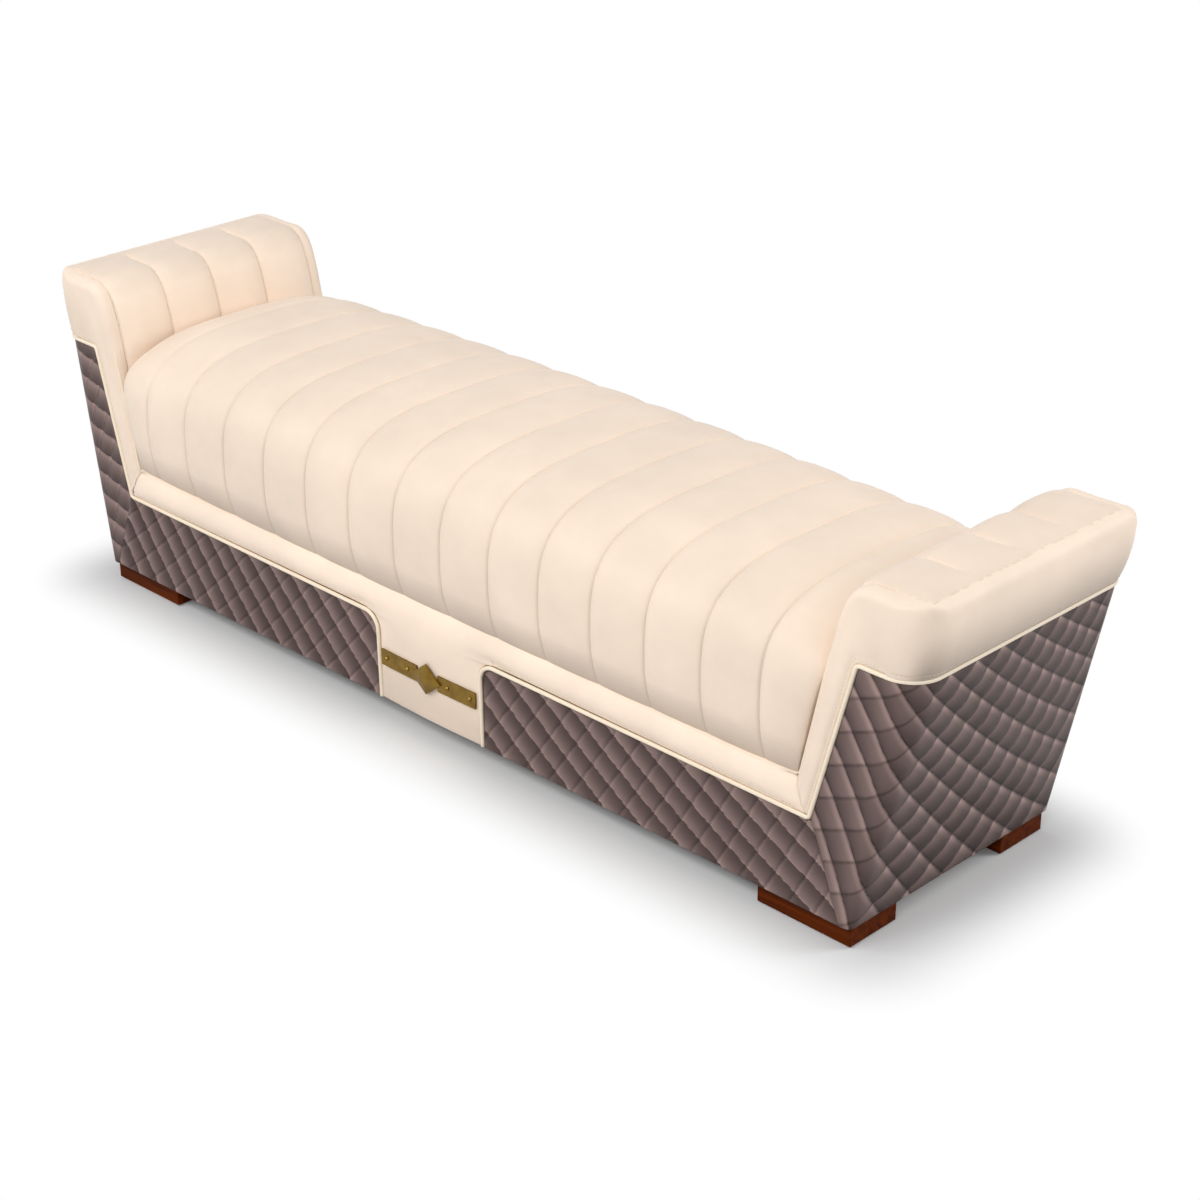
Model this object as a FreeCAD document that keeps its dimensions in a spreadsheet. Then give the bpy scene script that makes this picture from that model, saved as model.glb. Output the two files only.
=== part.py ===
import FreeCAD, Part
import math
import os
from types import SimpleNamespace

import Sketcher

Vector = FreeCAD.Vector

# Driving dimensions in millimetres, with what each one measures
DIMENSIONS = [
    ("felt_thick", 2, "felt pad under a foot"),
    ("felt_radius", 30, "felt pad under a foot"),
    ("foot_height", 34, "wooden foot"),
    ("foot_length", 170, "foot along the bench"),
    ("foot_depth", 100, "foot across the bench"),
    ("foot_end", 840, "outer end of a foot from the middle"),
    ("foot_front", 220, "outer side of a foot from the middle"),
    ("base_half", 845, "half length of the base at its bottom edge"),
    ("lean", 0.22, "outward lean of the arms for each millimetre of height"),
    ("front_face", 230, "quilted face from the middle plane"),
    ("quilt_thick", 10, "quilted panel"),
    ("corner_low", 12, "end panel's corner radius at the bottom edge"),
    ("corner_high", 50, "end panel's corner radius under the arm cap"),
    ("base_seam", 825, "seam between front and end panels at the bottom edge"),
    ("trim_foot", 766, "lower corner of the piping beside the seat"),
    ("trim_low", 182, "height of the piping under the seat"),
    ("trim_lean", 0.268, "lean of the piping up the arm's front"),
    ("cap_low", 440, "height of the piping under the arm cap"),
    ("pipe_radius", 3.2, "piping"),
    ("pipe_gap", 3.8, "half gap between panels that the piping fills"),
    ("pipe_bend", 5, "bend radius of the piping at its corners"),
    ("border_top", 236, "upper edge of the border, where the seat starts"),
    ("border_bulge", 9, "swell of the border in front of the quilted face"),
    ("drop_half", 117.5, "half width of the drop panel, to the piping's centre"),
    ("drop_round", 25, "rounded upper corner of a front panel beside the drop panel"),
    ("drop_swell", 3, "swell of the drop panel at its middle"),
    ("face_proud", 2, "arm facing in front of the quilted face"),
    ("arm_inner", 740, "inner face of an arm at the border's upper edge"),
    ("arm_bend", 470, "height where the inner face starts to curl over"),
    ("arm_shoulder", 850, "where the curl reaches the arm's top"),
    ("arm_top", 552, "top of the arm at its sewn lines"),
    ("arm_seam", 934, "outer seam of the arm pad"),
    ("arm_pad_half", 206.4, "half depth of the arm pad"),
    ("arm_channels", 4, "channels of an arm pad"),
    ("arm_crown", 9, "swell of an arm channel between its sewn lines"),
    ("pad_thick", 20, "arm pad at its sewn lines"),
    ("cap_edge", 535, "height where the cap's outer side starts to round over"),
    ("cap_wall", 14, "arm cap's outer side"),
    ("seat_pitch", 105, "width of a seat channel"),
    ("seat_channels", 13, "full seat channels between the two end ones"),
    ("seat_crown", 7, "swell of a seat channel between its sewn lines"),
    ("seat_side", 234, "seat's lower edge from the middle plane"),
    ("seat_belly", 250, "widest line of the seat's side"),
    ("seat_shoulder", 239, "where the side starts to round over"),
    ("seat_flat", 148, "where the rounding meets the top"),
    ("seat_top", 487, "seat at the middle of a sewn line"),
    ("seat_clear", 17, "room between the seat's end and the arm's sewn lines"),
    ("seat_end_reach", 95, "end of an end channel from its sewn line"),
    ("seat_end_drop", 48, "how far an end channel comes down towards the arm"),
    ("seat_end_draw", 12, "how far an end channel draws in at the front and rear"),
    ("foam_half", 199, "half depth of the seat foam"),
    ("foam_cover", 48, "cover above the seat foam"),
    ("foam_clear", 6, "seat cover's room in front of the foam"),
    ("rail_thick", 25, "front and back rails"),
    ("rail_height", 160, "front and back rails"),
    ("rail_half", 805, "half length of the front and back rails"),
    ("deck_thick", 12, "seat deck"),
    ("board_thick", 12, "boards of the arm's faces"),
    ("end_board_thick", 9, "board behind an end panel"),
    ("inner_board_thick", 6, "board behind an arm pad"),
    ("arm_foam_thick", 14, "foam under an arm pad"),
    ("arm_rail_low", 495, "underside of an arm's top rail"),
    ("arm_rail_thick", 20, "arm's top rail"),
    ("end_rail_thick", 19, "end rails of the base"),
    ("end_rail_height", 100, "end rails of the base"),
    ("stretcher_wide", 40, "cross stretchers"),
    ("stretcher_height", 60, "cross stretchers"),
    ("strip_deep", 20, "strips along the deck's edges"),
    ("post_wide", 40, "arm posts"),
    ("post_deep", 44, "arm posts and corner blocks across the bench"),
    ("block_height", 62, "corner blocks"),
    ("block_inner", 700, "inner end of a corner block from the middle"),
    ("bolt_radius", 3.9, "hanger bolts of the feet"),
    ("bolt_place", 728, "hanger bolt from the middle"),
    ("nut_radius", 11, "flange of a T-nut"),
    ("nut_barrel", 5.2, "barrel radius of a T-nut"),
    ("staple_pitch", 120, "spacing of the staples"),
    ("strap_height", 27, "ornament's straps"),
    ("strap_level", 113, "middle of the ornament"),
    ("strap_thick", 3, "ornament's straps"),
    ("strap_end", 108, "outer end of a strap"),
    ("boss_half", 33, "half width of the ornament's lozenge"),
]

SIDES = {"right": 1, "left": -1}
ENDS = {"front": 1, "rear": -1}
PLANES = {"plan": "XY_Plane", "front": "XZ_Plane", "end": "YZ_Plane"}
HALF_ROOT = math.sqrt(0.5)
CLEAR = 0.5


class Measure:
    """A number kept together with the sheet formula that gives it."""

    def __init__(self, number, formula):
        self.number = float(number)
        self.formula = formula

    def __add__(self, other):
        other = measure(other)
        return Measure(self.number + other.number, f"({self.formula} + {other.formula})")

    def __sub__(self, other):
        other = measure(other)
        return Measure(self.number - other.number, f"({self.formula} - {other.formula})")

    def __mul__(self, other):
        other = measure(other)
        return Measure(self.number * other.number, f"({self.formula} * {other.formula})")

    def __truediv__(self, other):
        other = measure(other)
        return Measure(self.number / other.number, f"({self.formula} / {other.formula})")

    def __radd__(self, other):
        return measure(other) + self

    def __rsub__(self, other):
        return measure(other) - self

    def __rmul__(self, other):
        return measure(other) * self

    def __neg__(self):
        return Measure(-self.number, f"(-1 * {self.formula})")


def measure(value):
    """A plain number as a measure."""
    if isinstance(value, Measure):
        return value
    return Measure(value, f"({value})")


class Via:
    """A point that an arc of an outline passes through."""

    def __init__(self, across, up):
        self.place = (across, up)


doc = FreeCAD.newDocument("BedBench")
sheet = doc.addObject("Spreadsheet::Sheet", "Size")
for row, (alias, number, meaning) in enumerate(DIMENSIONS, start=1):
    sheet.set(f"A{row}", alias)
    sheet.set(f"B{row}", str(number))
    sheet.setAlias(f"B{row}", alias)
    sheet.set(f"C{row}", meaning)
doc.recompute()
size = SimpleNamespace(**{alias: Measure(number, f"Size.{alias}") for alias, number, _ in DIMENSIONS})
nodes = []

# Heights and lines that many pieces share
BASE = size.felt_thick + size.foot_height
RAIL_TOP = BASE + size.rail_height
DECK_TOP = RAIL_TOP + size.deck_thick
BACKING = size.front_face - size.quilt_thick
FACE = size.front_face + size.face_proud
CAP_BOTTOM = size.cap_low + size.pipe_gap
QUILT_TOP = size.cap_low - size.pipe_gap
BLOCK_TOP = BASE + size.block_height
BLOCK_FRONT = BACKING - size.rail_thick - 1
BLOCK_REAR = BLOCK_FRONT - size.post_deep
DROP_FRONT = size.front_face + 1


def outer(height):
    """Outer face of an arm at a height."""
    return size.base_half + size.lean * (height - BASE)


def inner(height):
    """Inner face of an arm, at its sewn lines, at a height."""
    return size.arm_inner + size.lean * (height - size.border_top)


def trim(height):
    """Line of the piping up an arm's front."""
    return size.trim_foot + size.trim_lean * (height - size.trim_low)


def drop_face(across, proud=0):
    """Front of the swelled drop panel at a distance from its middle, as a Y place."""
    reach = size.drop_half + size.pipe_gap + size.drop_round
    return -(DROP_FRONT + size.drop_swell + proud) + size.drop_swell * (across / reach) * (across / reach)


def keep(piece, label):
    """Name a finished sub-part."""
    piece.Label = label
    nodes.append(piece)
    return piece


def new_body(name):
    """An empty body."""
    return doc.addObject("PartDesign::Body", name)


def origin_feature(body, role):
    """One of a body's own planes or axes."""
    return next(item for item in body.Origin.OriginFeatures if item.Role == role)


def pin_point(sketch, geometry, end, place):
    """Hold a sketch point at a measured place."""
    axes = (("DistanceX", -2), ("DistanceY", -1))
    for (kind, axis), value in zip(axes, place):
        value = measure(value)
        if abs(value.number) < 1e-9:
            sketch.addConstraint(Sketcher.Constraint("PointOnObject", geometry, end, axis))
            continue
        if value.number > 0:
            link = Sketcher.Constraint(kind, -1, 1, geometry, end, value.number)
        else:
            value = -value
            link = Sketcher.Constraint(kind, geometry, end, -1, 1, value.number)
        index = sketch.addConstraint(link)
        sketch.setExpression(f"Constraints[{index}]", value.formula)


def arc_through(start, middle, stop):
    """Circle arc through three points, and whether it runs from start to stop anticlockwise."""
    circle = Part.Arc(start, middle, stop).toShape().Curve
    centre = circle.Center
    turn = (middle - start).cross(stop - middle).z
    first, last = (start, stop) if turn > 0 else (stop, start)
    low = math.atan2(first.y - centre.y, first.x - centre.x)
    high = math.atan2(last.y - centre.y, last.x - centre.x)
    if high < low:
        high += 2 * math.pi
    plain = Part.Circle(centre, Vector(0, 0, 1), circle.Radius)
    return Part.ArcOfCircle(plain, low, high), turn > 0


def point(place):
    """A measured place as a vector in a sketch."""
    return Vector(measure(place[0]).number, measure(place[1]).number, 0)


def outline(body, plane, offset, path):
    """Closed sketch on one of the body's planes: corners, with arcs where a Via stands between them."""
    sketch = body.newObject("Sketcher::SketchObject", f"{body.Name}_outline")
    sketch.AttachmentSupport = [(origin_feature(body, PLANES[plane]), "")]
    sketch.MapMode = "FlatFace"
    sketch.setExpression(".AttachmentOffset.Base.z", measure(offset).formula)
    corners = [item for item in path if not isinstance(item, Via)]
    vias = {}
    count = -1
    for item in path:
        if isinstance(item, Via):
            vias[count] = item
        else:
            count += 1
    joints = []
    arcs = []
    for index, corner in enumerate(corners):
        start = point(corner)
        stop = point(corners[(index + 1) % len(corners)])
        ends = (1, 2)
        if index in vias:
            edge, forward = arc_through(start, point(vias[index].place), stop)
            ends = (1, 2) if forward else (2, 1)
        else:
            edge = Part.LineSegment(start, stop)
        geometry = sketch.addGeometry(edge, False)
        joints.append((geometry, ends))
        if index in vias:
            arcs.append((geometry, vias[index].place))
    for index, (geometry, ends) in enumerate(joints):
        following, next_ends = joints[(index + 1) % len(joints)]
        sketch.addConstraint(Sketcher.Constraint("Coincident", geometry, ends[1], following, next_ends[0]))
    for (geometry, ends), corner in zip(joints, corners):
        pin_point(sketch, geometry, ends[0], corner)
    for geometry, place in arcs:
        mark = sketch.addGeometry(Part.Point(point(place)), True)
        pin_point(sketch, mark, 1, place)
        sketch.addConstraint(Sketcher.Constraint("PointOnObject", mark, 1, geometry))
    return sketch


def pad(body, plane, start, length, path):
    """Pad an outline, from start along the plane's normal (a front plane's normal points to the front)."""
    feature = body.newObject("PartDesign::Pad", f"{body.Name}_pad")
    feature.Profile = outline(body, plane, start, path)
    feature.setExpression("Length", measure(length).formula)
    doc.recompute()
    return feature


def pocket(body, plane, start, length, path):
    """Cut an outline out of the body, from start along the plane's normal."""
    before = body.Shape.Volume
    sketch = outline(body, plane, start, path)
    feature = body.newObject("PartDesign::Pocket", f"{body.Name}_pocket")
    feature.Profile = sketch
    feature.Reversed = True
    feature.setExpression("Length", measure(length).formula)
    doc.recompute()
    if body.Shape.Volume > before - 1:
        raise RuntimeError(f"a pocket of {body.Name} cut nothing")
    return feature


def loft(body, plane, sections, ruled=False):
    """Loft through outlines given as (offset, path)."""
    sketches = [outline(body, plane, offset, path) for offset, path in sections]
    feature = body.newObject("PartDesign::AdditiveLoft", f"{body.Name}_loft")
    feature.Profile = sketches[0]
    feature.Sections = sketches[1:]
    feature.Ruled = ruled
    doc.recompute()
    return feature


def prism(name, plane, start, length, path):
    """A body that is one padded outline."""
    body = new_body(name)
    pad(body, plane, start, length, path)
    return body


def block(name, corner, opposite):
    """A box between two opposite corners."""
    box = doc.addObject("Part::Box", name)
    for letter, edge, *ends in zip("xyz", ("Length", "Width", "Height"), corner, opposite):
        near, far = sorted((measure(end) for end in ends), key=lambda end: end.number)
        box.setExpression(edge, (far - near).formula)
        box.setExpression(f".Placement.Base.{letter}", near.formula)
    return box


def rod(name, radius, low, high, across, along):
    """An upright cylinder between two heights."""
    cylinder = doc.addObject("Part::Cylinder", name)
    cylinder.setExpression("Radius", measure(radius).formula)
    cylinder.setExpression("Height", (measure(high) - low).formula)
    for letter, value in zip("xyz", (across, along, low)):
        cylinder.setExpression(f".Placement.Base.{letter}", measure(value).formula)
    return cylinder


def boolean(kind, name, base, tool):
    """A cut or common of two objects."""
    result = doc.addObject(f"Part::{kind}", name)
    result.Base = base
    result.Tool = tool
    return result


def group(name, pieces):
    """Separate like solids in one sub-part."""
    result = doc.addObject("Part::Compound", name)
    result.Links = pieces
    return keep(result, name)


def mirror(piece, name):
    """The same piece on the left."""
    result = doc.addObject("Part::Mirroring", name)
    result.Source = piece
    result.Base = Vector(0, 0, 0)
    result.Normal = Vector(1, 0, 0)
    return result


def both_sides(make, name):
    """A right piece, and its mirror image on the left."""
    right = keep(make(f"{name}_right"), f"{name}_right")
    keep(mirror(right, f"{name}_left"), f"{name}_left")


def corners_of_base():
    """Names and signs of the four corners, the front ones first."""
    for end, toward in ENDS.items():
        for side, sign in SIDES.items():
            yield f"{end}_{side}", sign, -toward


def slanted(low, high, near, far):
    """Four corners of a leaning board: near and far are lines that give a place at a height."""
    return [(near(low), low), (far(low), low), (far(high), high), (near(high), high)]


# Feet and what fixes them
def bolt_place(across, along):
    """Where a corner's hanger bolt stands."""
    return across * size.bolt_place, along * (BLOCK_FRONT + BLOCK_REAR) / 2


def make_foot(name, across, along):
    """A wooden block with a blind hole for its bolt and a softened edge all round."""
    body = new_body(f"{name}_timber")
    ends = [size.foot_end - size.foot_length, size.foot_end]
    sides = [size.foot_front - size.foot_depth, size.foot_front]
    rectangle = [(across * ends[0], along * sides[0]), (across * ends[1], along * sides[0]),
                 (across * ends[1], along * sides[1]), (across * ends[0], along * sides[1])]
    feature = pad(body, "plan", size.felt_thick, size.foot_height, rectangle)
    softened = body.newObject("PartDesign::Chamfer", f"{name}_edge")
    edges = [f"Edge{number}" for number, edge in enumerate(feature.Shape.Edges, start=1)
             if edge.BoundBox.ZMax < BASE.number - 1 or edge.BoundBox.ZLength > 1]
    softened.Base = (feature, edges)
    softened.Size = 1.5
    doc.recompute()
    body.Tip = softened
    drill = rod(f"{name}_drill", size.bolt_radius + 0.1, size.felt_thick + 9, BASE + 1,
                *bolt_place(across, along))
    return keep(boolean("Cut", name, body, drill), name)


def make_feet():
    """Four feet, their felt pads, hanger bolts, T-nuts and the corner blocks above them."""
    felts = []
    bolts = []
    nuts = []
    blocks = []
    drill = size.bolt_radius + 0.1
    for name, across, along in corners_of_base():
        make_foot(f"foot_{name}", across, along)
        bolt = bolt_place(across, along)
        middle = (across * (size.foot_end - size.foot_length / 2),
                  along * (size.foot_front - size.foot_depth / 2))
        felts.append(rod(f"felt_{name}", size.felt_radius, 0, size.felt_thick, *middle))
        bolts.append(rod(f"bolt_{name}", size.bolt_radius, size.felt_thick + 9, BLOCK_TOP - 2, *bolt))
        flange = rod(f"flange_{name}", size.nut_radius, BLOCK_TOP, BLOCK_TOP + 1.6, *bolt)
        barrel = rod(f"barrel_{name}", size.nut_barrel, BLOCK_TOP - 12, BLOCK_TOP, *bolt)
        solid = boolean("Fuse", f"nut_{name}", flange, barrel)
        thread = rod(f"thread_{name}", drill, BLOCK_TOP - 13, BLOCK_TOP + 2, *bolt)
        nuts.append(boolean("Cut", f"t_nut_{name}", solid, thread))
        timber = block(f"timber_{name}", (across * size.block_inner, along * BLOCK_REAR, BASE),
                       (across * size.rail_half, along * BLOCK_FRONT, BLOCK_TOP))
        hole = rod(f"hole_{name}", size.nut_barrel + 0.2, BASE - 1, BLOCK_TOP + 1, *bolt)
        blocks.append(boolean("Cut", f"corner_block_{name}", timber, hole))
    group("felt_pads", felts)
    group("hanger_bolts", bolts)
    group("t_nuts", nuts)
    group("corner_blocks", blocks)


# Timber of the base
def make_base_frame():
    """Rails, stretchers, deck and the strips along its edges."""
    half = size.rail_half
    for name, near in (("front_rail", -BACKING), ("back_rail", BACKING - size.rail_thick)):
        keep(block(name, (-half, near, BASE), (half, near + size.rail_thick, RAIL_TOP)), name)
    for side, sign in SIDES.items():
        rail = block(f"end_rail_{side}", (sign * (half + 1), -BLOCK_FRONT, BASE),
                     (sign * (half + 1 + size.end_rail_thick), BLOCK_FRONT, BASE + size.end_rail_height))
        keep(rail, f"end_rail_{side}")
    stretchers = []
    for place in (-1, 0, 1):
        middle = place * 3.5 * size.seat_pitch
        low = (middle - size.stretcher_wide / 2, -BLOCK_FRONT, RAIL_TOP - size.stretcher_height)
        high = (middle + size.stretcher_wide / 2, BLOCK_FRONT, RAIL_TOP)
        stretchers.append(block(f"stretcher_{place + 2}", low, high))
    group("cross_stretchers", stretchers)
    reach = inner(DECK_TOP) - 3
    keep(block("seat_deck", (-reach, 1 - BACKING, RAIL_TOP), (reach, BACKING - 1, DECK_TOP)), "seat_deck")
    strips = []
    for name, along in ENDS.items():
        low = (3 - reach, along * (BACKING - 1), DECK_TOP)
        high = (reach - 3, along * (BACKING - 1 - size.strip_deep), size.border_top - 2)
        strips.append(block(f"strip_{name}", low, high))
    group("seat_edge_strips", strips)


def make_dust_cover():
    """Cloth stapled under the base between the feet."""
    reach = size.foot_end - size.foot_length - 6
    far = size.base_seam - 3
    wide = BACKING - 6
    slim = size.foot_front - size.foot_depth - 6
    corners = [(reach, -wide), (reach, -slim), (far, -slim), (far, slim), (reach, slim), (reach, wide)]
    corners += [(-across, along) for across, along in corners[::-1]]
    keep(prism("dust_cover", "plan", BASE - 1, 1, corners), "dust_cover")
    staples = []
    for place in range(-5, 6):
        for name, along in ENDS.items():
            middle = (place * size.staple_pitch, along * (wide - 8))
            low = (middle[0] - 5, middle[1] - 0.6, BASE - 1.6)
            high = (middle[0] + 5, middle[1] + 0.6, BASE - 1)
            staples.append(block(f"staple_{name}_{place + 6}", low, high))
    group("staples", staples)


# Seat
def seat_section(swell, shrink=0, drop=0):
    """Seat across the bench: a belly on each side, rounded shoulders and a crowned top."""
    low = size.border_top + 1
    bend = low + 0.7 * (size.seat_top - low) - 0.7 * drop
    top = size.seat_top + swell - drop
    side = size.seat_side + 0.4 * swell - shrink
    belly = size.seat_belly + swell - shrink
    shoulder = size.seat_shoulder + swell - shrink
    flat = size.seat_flat + 0.3 * swell - shrink
    round_over = 0.5 * (shoulder + flat) + 0.22 * (shoulder - flat)
    return [(-side, low), Via(-belly, 0.45 * bend + 0.55 * low),
            (-shoulder, bend), Via(-round_over, 0.28 * bend + 0.72 * top - 3),
            (-flat, top - 10), Via(0, top),
            (flat, top - 10), Via(round_over, 0.28 * bend + 0.72 * top - 3),
            (shoulder, bend), Via(belly, 0.45 * bend + 0.55 * low),
            (side, low)]


def make_seat_cover():
    """Channelled seat: full channels in a row, a lower rounded one at each end, hollow over the foam."""
    body = new_body("seat_cover")
    first = -(size.seat_channels * size.seat_pitch) / 2
    half = size.seat_pitch / 2
    channel = loft(body, "end", [(first, seat_section(0)), (first + half, seat_section(size.seat_crown)),
                                 (first + size.seat_pitch, seat_section(0))])
    row = body.newObject("PartDesign::LinearPattern", "seat_row")
    row.Originals = [channel]
    row.Direction = (origin_feature(body, "X_Axis"), [""])
    row.setExpression("Length", (size.seat_pitch * (size.seat_channels - 1)).formula)
    row.setExpression("Occurrences", size.seat_channels.formula)
    body.Tip = row
    doc.recompute()
    for sign in SIDES.values():
        edge = sign * -first
        loft(body, "end", [(edge, seat_section(0)), (edge + sign * 0.4 * size.seat_pitch, seat_section(3)),
                           (edge + sign * size.seat_end_reach,
                            seat_section(0, size.seat_end_draw, size.seat_end_drop))])
    for sign in SIDES.values():
        low = size.border_top - 5
        high = size.seat_top + 50
        beyond = inner(high) + 20
        wedge = [(sign * (inner(low) - size.seat_clear), low), (sign * beyond, low), (sign * beyond, high),
                 (sign * (inner(high) - size.seat_clear), high)]
        pocket(body, "front", -(size.seat_belly + 40), 2 * (size.seat_belly + 40), wedge)
    reach = -first - 0.4 * size.seat_pitch
    room = size.foam_half + size.foam_clear
    foam_top = size.seat_top - size.foam_cover
    hollow = [(-reach, -room), (reach, -room), (reach, room), (-reach, room)]
    pocket(body, "plan", size.border_top, foam_top + 1 - size.border_top, hollow)
    keep(body, "seat_cover")
    low = (2 - reach, -size.foam_half, DECK_TOP)
    keep(block("seat_foam_core", low, (reach - 2, size.foam_half, foam_top)), "seat_foam_core")


# Arms
def arm_line(swell, shift):
    """Arm's inner face and top as a line from low to high, moved into the arm by shift."""
    low = DECK_TOP + 42
    top = size.arm_top - shift
    bend = size.arm_bend
    turn = inner(bend) + shift
    shoulder = size.arm_shoulder + 0.4 * shift
    return [(inner(low) + shift - 0.5 * swell, low), (turn - swell, bend),
            Via(turn + 0.24 * (shoulder - turn) - 0.9 * swell, bend + 0.62 * (top - bend) + 0.6 * swell),
            (shoulder - 0.4 * swell, top + swell), (size.arm_seam - 2, top + 2 + 0.3 * swell)]


def arm_layer(start, thick, swell=0):
    """Closed section of a layer over the arm, between two depths."""
    return arm_line(swell, start) + arm_line(0, start + thick)[::-1]


def make_arm_pad(name):
    """Arm pad in channels that run up the inner face and over the top."""
    body = new_body(name)
    pitch = 2 * size.arm_pad_half / size.arm_channels
    first = -size.arm_pad_half
    flat = arm_layer(0, size.pad_thick)
    crowned = arm_layer(0, size.pad_thick, size.arm_crown)
    channel = loft(body, "front", [(first, flat), (first + pitch / 2, crowned), (first + pitch, flat)])
    row = body.newObject("PartDesign::LinearPattern", f"{name}_row")
    row.Originals = [channel]
    row.Direction = (origin_feature(body, "Y_Axis"), [""])
    row.Reversed = True
    row.setExpression("Length", (pitch * (size.arm_channels - 1)).formula)
    row.setExpression("Occurrences", size.arm_channels.formula)
    body.Tip = row
    doc.recompute()
    return body


def make_arm_foam(name):
    """Foam between the pad and the timber of the arm."""
    section = arm_layer(size.pad_thick + CLEAR, size.arm_foam_thick)
    return prism(name, "front", -size.arm_pad_half, 2 * size.arm_pad_half, section)


def make_arm_facing(name):
    """Smooth leather of an arm: cap round the outer side, and a band down the front and the rear."""
    wide = 60

    def plan(height):
        far = outer(height)
        turn = size.corner_high
        nook = turn * (1 - HALF_ROOT)
        near = inner(CAP_BOTTOM) - wide
        return [(near, -FACE), (far - turn, -FACE), Via(far - nook, nook - FACE), (far, turn - FACE),
                (far, FACE - turn), Via(far - nook, FACE - nook), (far - turn, FACE), (near, FACE)]

    top = size.arm_top + 3
    high = top + 15
    mass = new_body(f"{name}_mass")
    loft(mass, "plan", [(CAP_BOTTOM, plan(CAP_BOTTOM)), (high, plan(high))], ruled=True)
    edge = size.cap_edge
    rounded = Via(outer(edge) - 0.3 * (outer(edge) - size.arm_seam), edge + 0.75 * (top - edge))
    rim = arm_line(0, 0)[1:4] + [(size.arm_seam, top), rounded, (outer(edge), edge),
                                 (outer(CAP_BOTTOM), CAP_BOTTOM), (inner(CAP_BOTTOM), CAP_BOTTOM)]
    profile = prism(f"{name}_profile", "front", -FACE - 5, 2 * FACE + 10, rim)
    shaped = boolean("Common", f"{name}_shaped", mass, profile)
    wall = size.cap_wall
    low = CAP_BOTTOM - 5
    hollow = [(inner(low) - wide - 5, low), (outer(low) - wall, low), (outer(edge) - wall, edge),
              (size.arm_seam, edge + 6), (size.arm_seam, high), (inner(low) - wide - 5, high)]
    room = size.arm_pad_half + CLEAR
    void = prism(f"{name}_void", "front", -room, 2 * room, hollow)
    cap = boolean("Cut", f"{name}_cap", shaped, void)
    gap = size.pipe_gap + 0.2
    start = size.trim_low + size.pipe_gap
    overlap = CAP_BOTTOM + 15
    band = [(trim(start) - gap, start), (trim(overlap) - gap, overlap), (inner(overlap), overlap),
            (inner(size.border_top), size.border_top)]
    thick = FACE - BACKING
    bands = [prism(f"{name}_band_front", "front", BACKING, thick, band),
             prism(f"{name}_band_rear", "front", -FACE, thick, band)]
    whole = doc.addObject("Part::MultiFuse", name)
    whole.Shapes = [cap] + bands
    whole.Refine = True
    return whole


def make_arm_frame():
    """Posts, top rail and boards inside each arm."""
    under_pad = size.pad_thick + size.arm_foam_thick + 1
    board = under_pad + 2
    post = board + size.inner_board_thick + 2
    half = size.arm_pad_half
    rail_low = size.arm_rail_low
    rail_high = rail_low + size.arm_rail_thick

    def posts(name):
        section = slanted(BLOCK_TOP, rail_low, lambda z: inner(z) + post,
                          lambda z: inner(z) + post + size.post_wide)
        pair = doc.addObject("Part::Compound", name)
        pair.Links = [prism(f"{name}_{number}", "front", start, size.post_deep, section)
                      for number, start in enumerate((BLOCK_REAR, -BLOCK_FRONT))]
        return pair

    def top_rail(name):
        near = inner(rail_low) + under_pad + 14
        far = outer(rail_low) - size.cap_wall - 1
        section = [(near, rail_low), (far, rail_low), (far, rail_high),
                   (near + size.arm_rail_thick, rail_high)]
        return prism(name, "front", -half, 2 * half, section)

    def inner_board(name):
        section = slanted(DECK_TOP + 42, rail_low - 20, lambda z: inner(z) + board,
                          lambda z: inner(z) + board + size.inner_board_thick)
        return prism(name, "front", -half, 2 * half, section)

    def end_board(name):
        far = size.quilt_thick + CLEAR
        section = slanted(BASE + 2, QUILT_TOP, lambda z: outer(z) - far - size.end_board_thick,
                          lambda z: outer(z) - far)
        reach = size.front_face - size.corner_high - 2
        return prism(name, "front", -reach, 2 * reach, section)

    def face_boards(name):
        section = slanted(RAIL_TOP + 14, QUILT_TOP, lambda z: inner(z) + 6, lambda z: outer(z) - size.corner_high)
        thick = size.board_thick
        pair = doc.addObject("Part::Compound", name)
        pair.Links = [prism(f"{name}_front", "front", BACKING - CLEAR - thick, thick, section),
                      prism(f"{name}_rear", "front", CLEAR - BACKING, thick, section)]
        return pair

    both_sides(posts, "arm_posts")
    both_sides(top_rail, "arm_top_rail")
    both_sides(inner_board, "arm_inner_board")
    both_sides(end_board, "end_board")
    both_sides(face_boards, "arm_face_boards")


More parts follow.
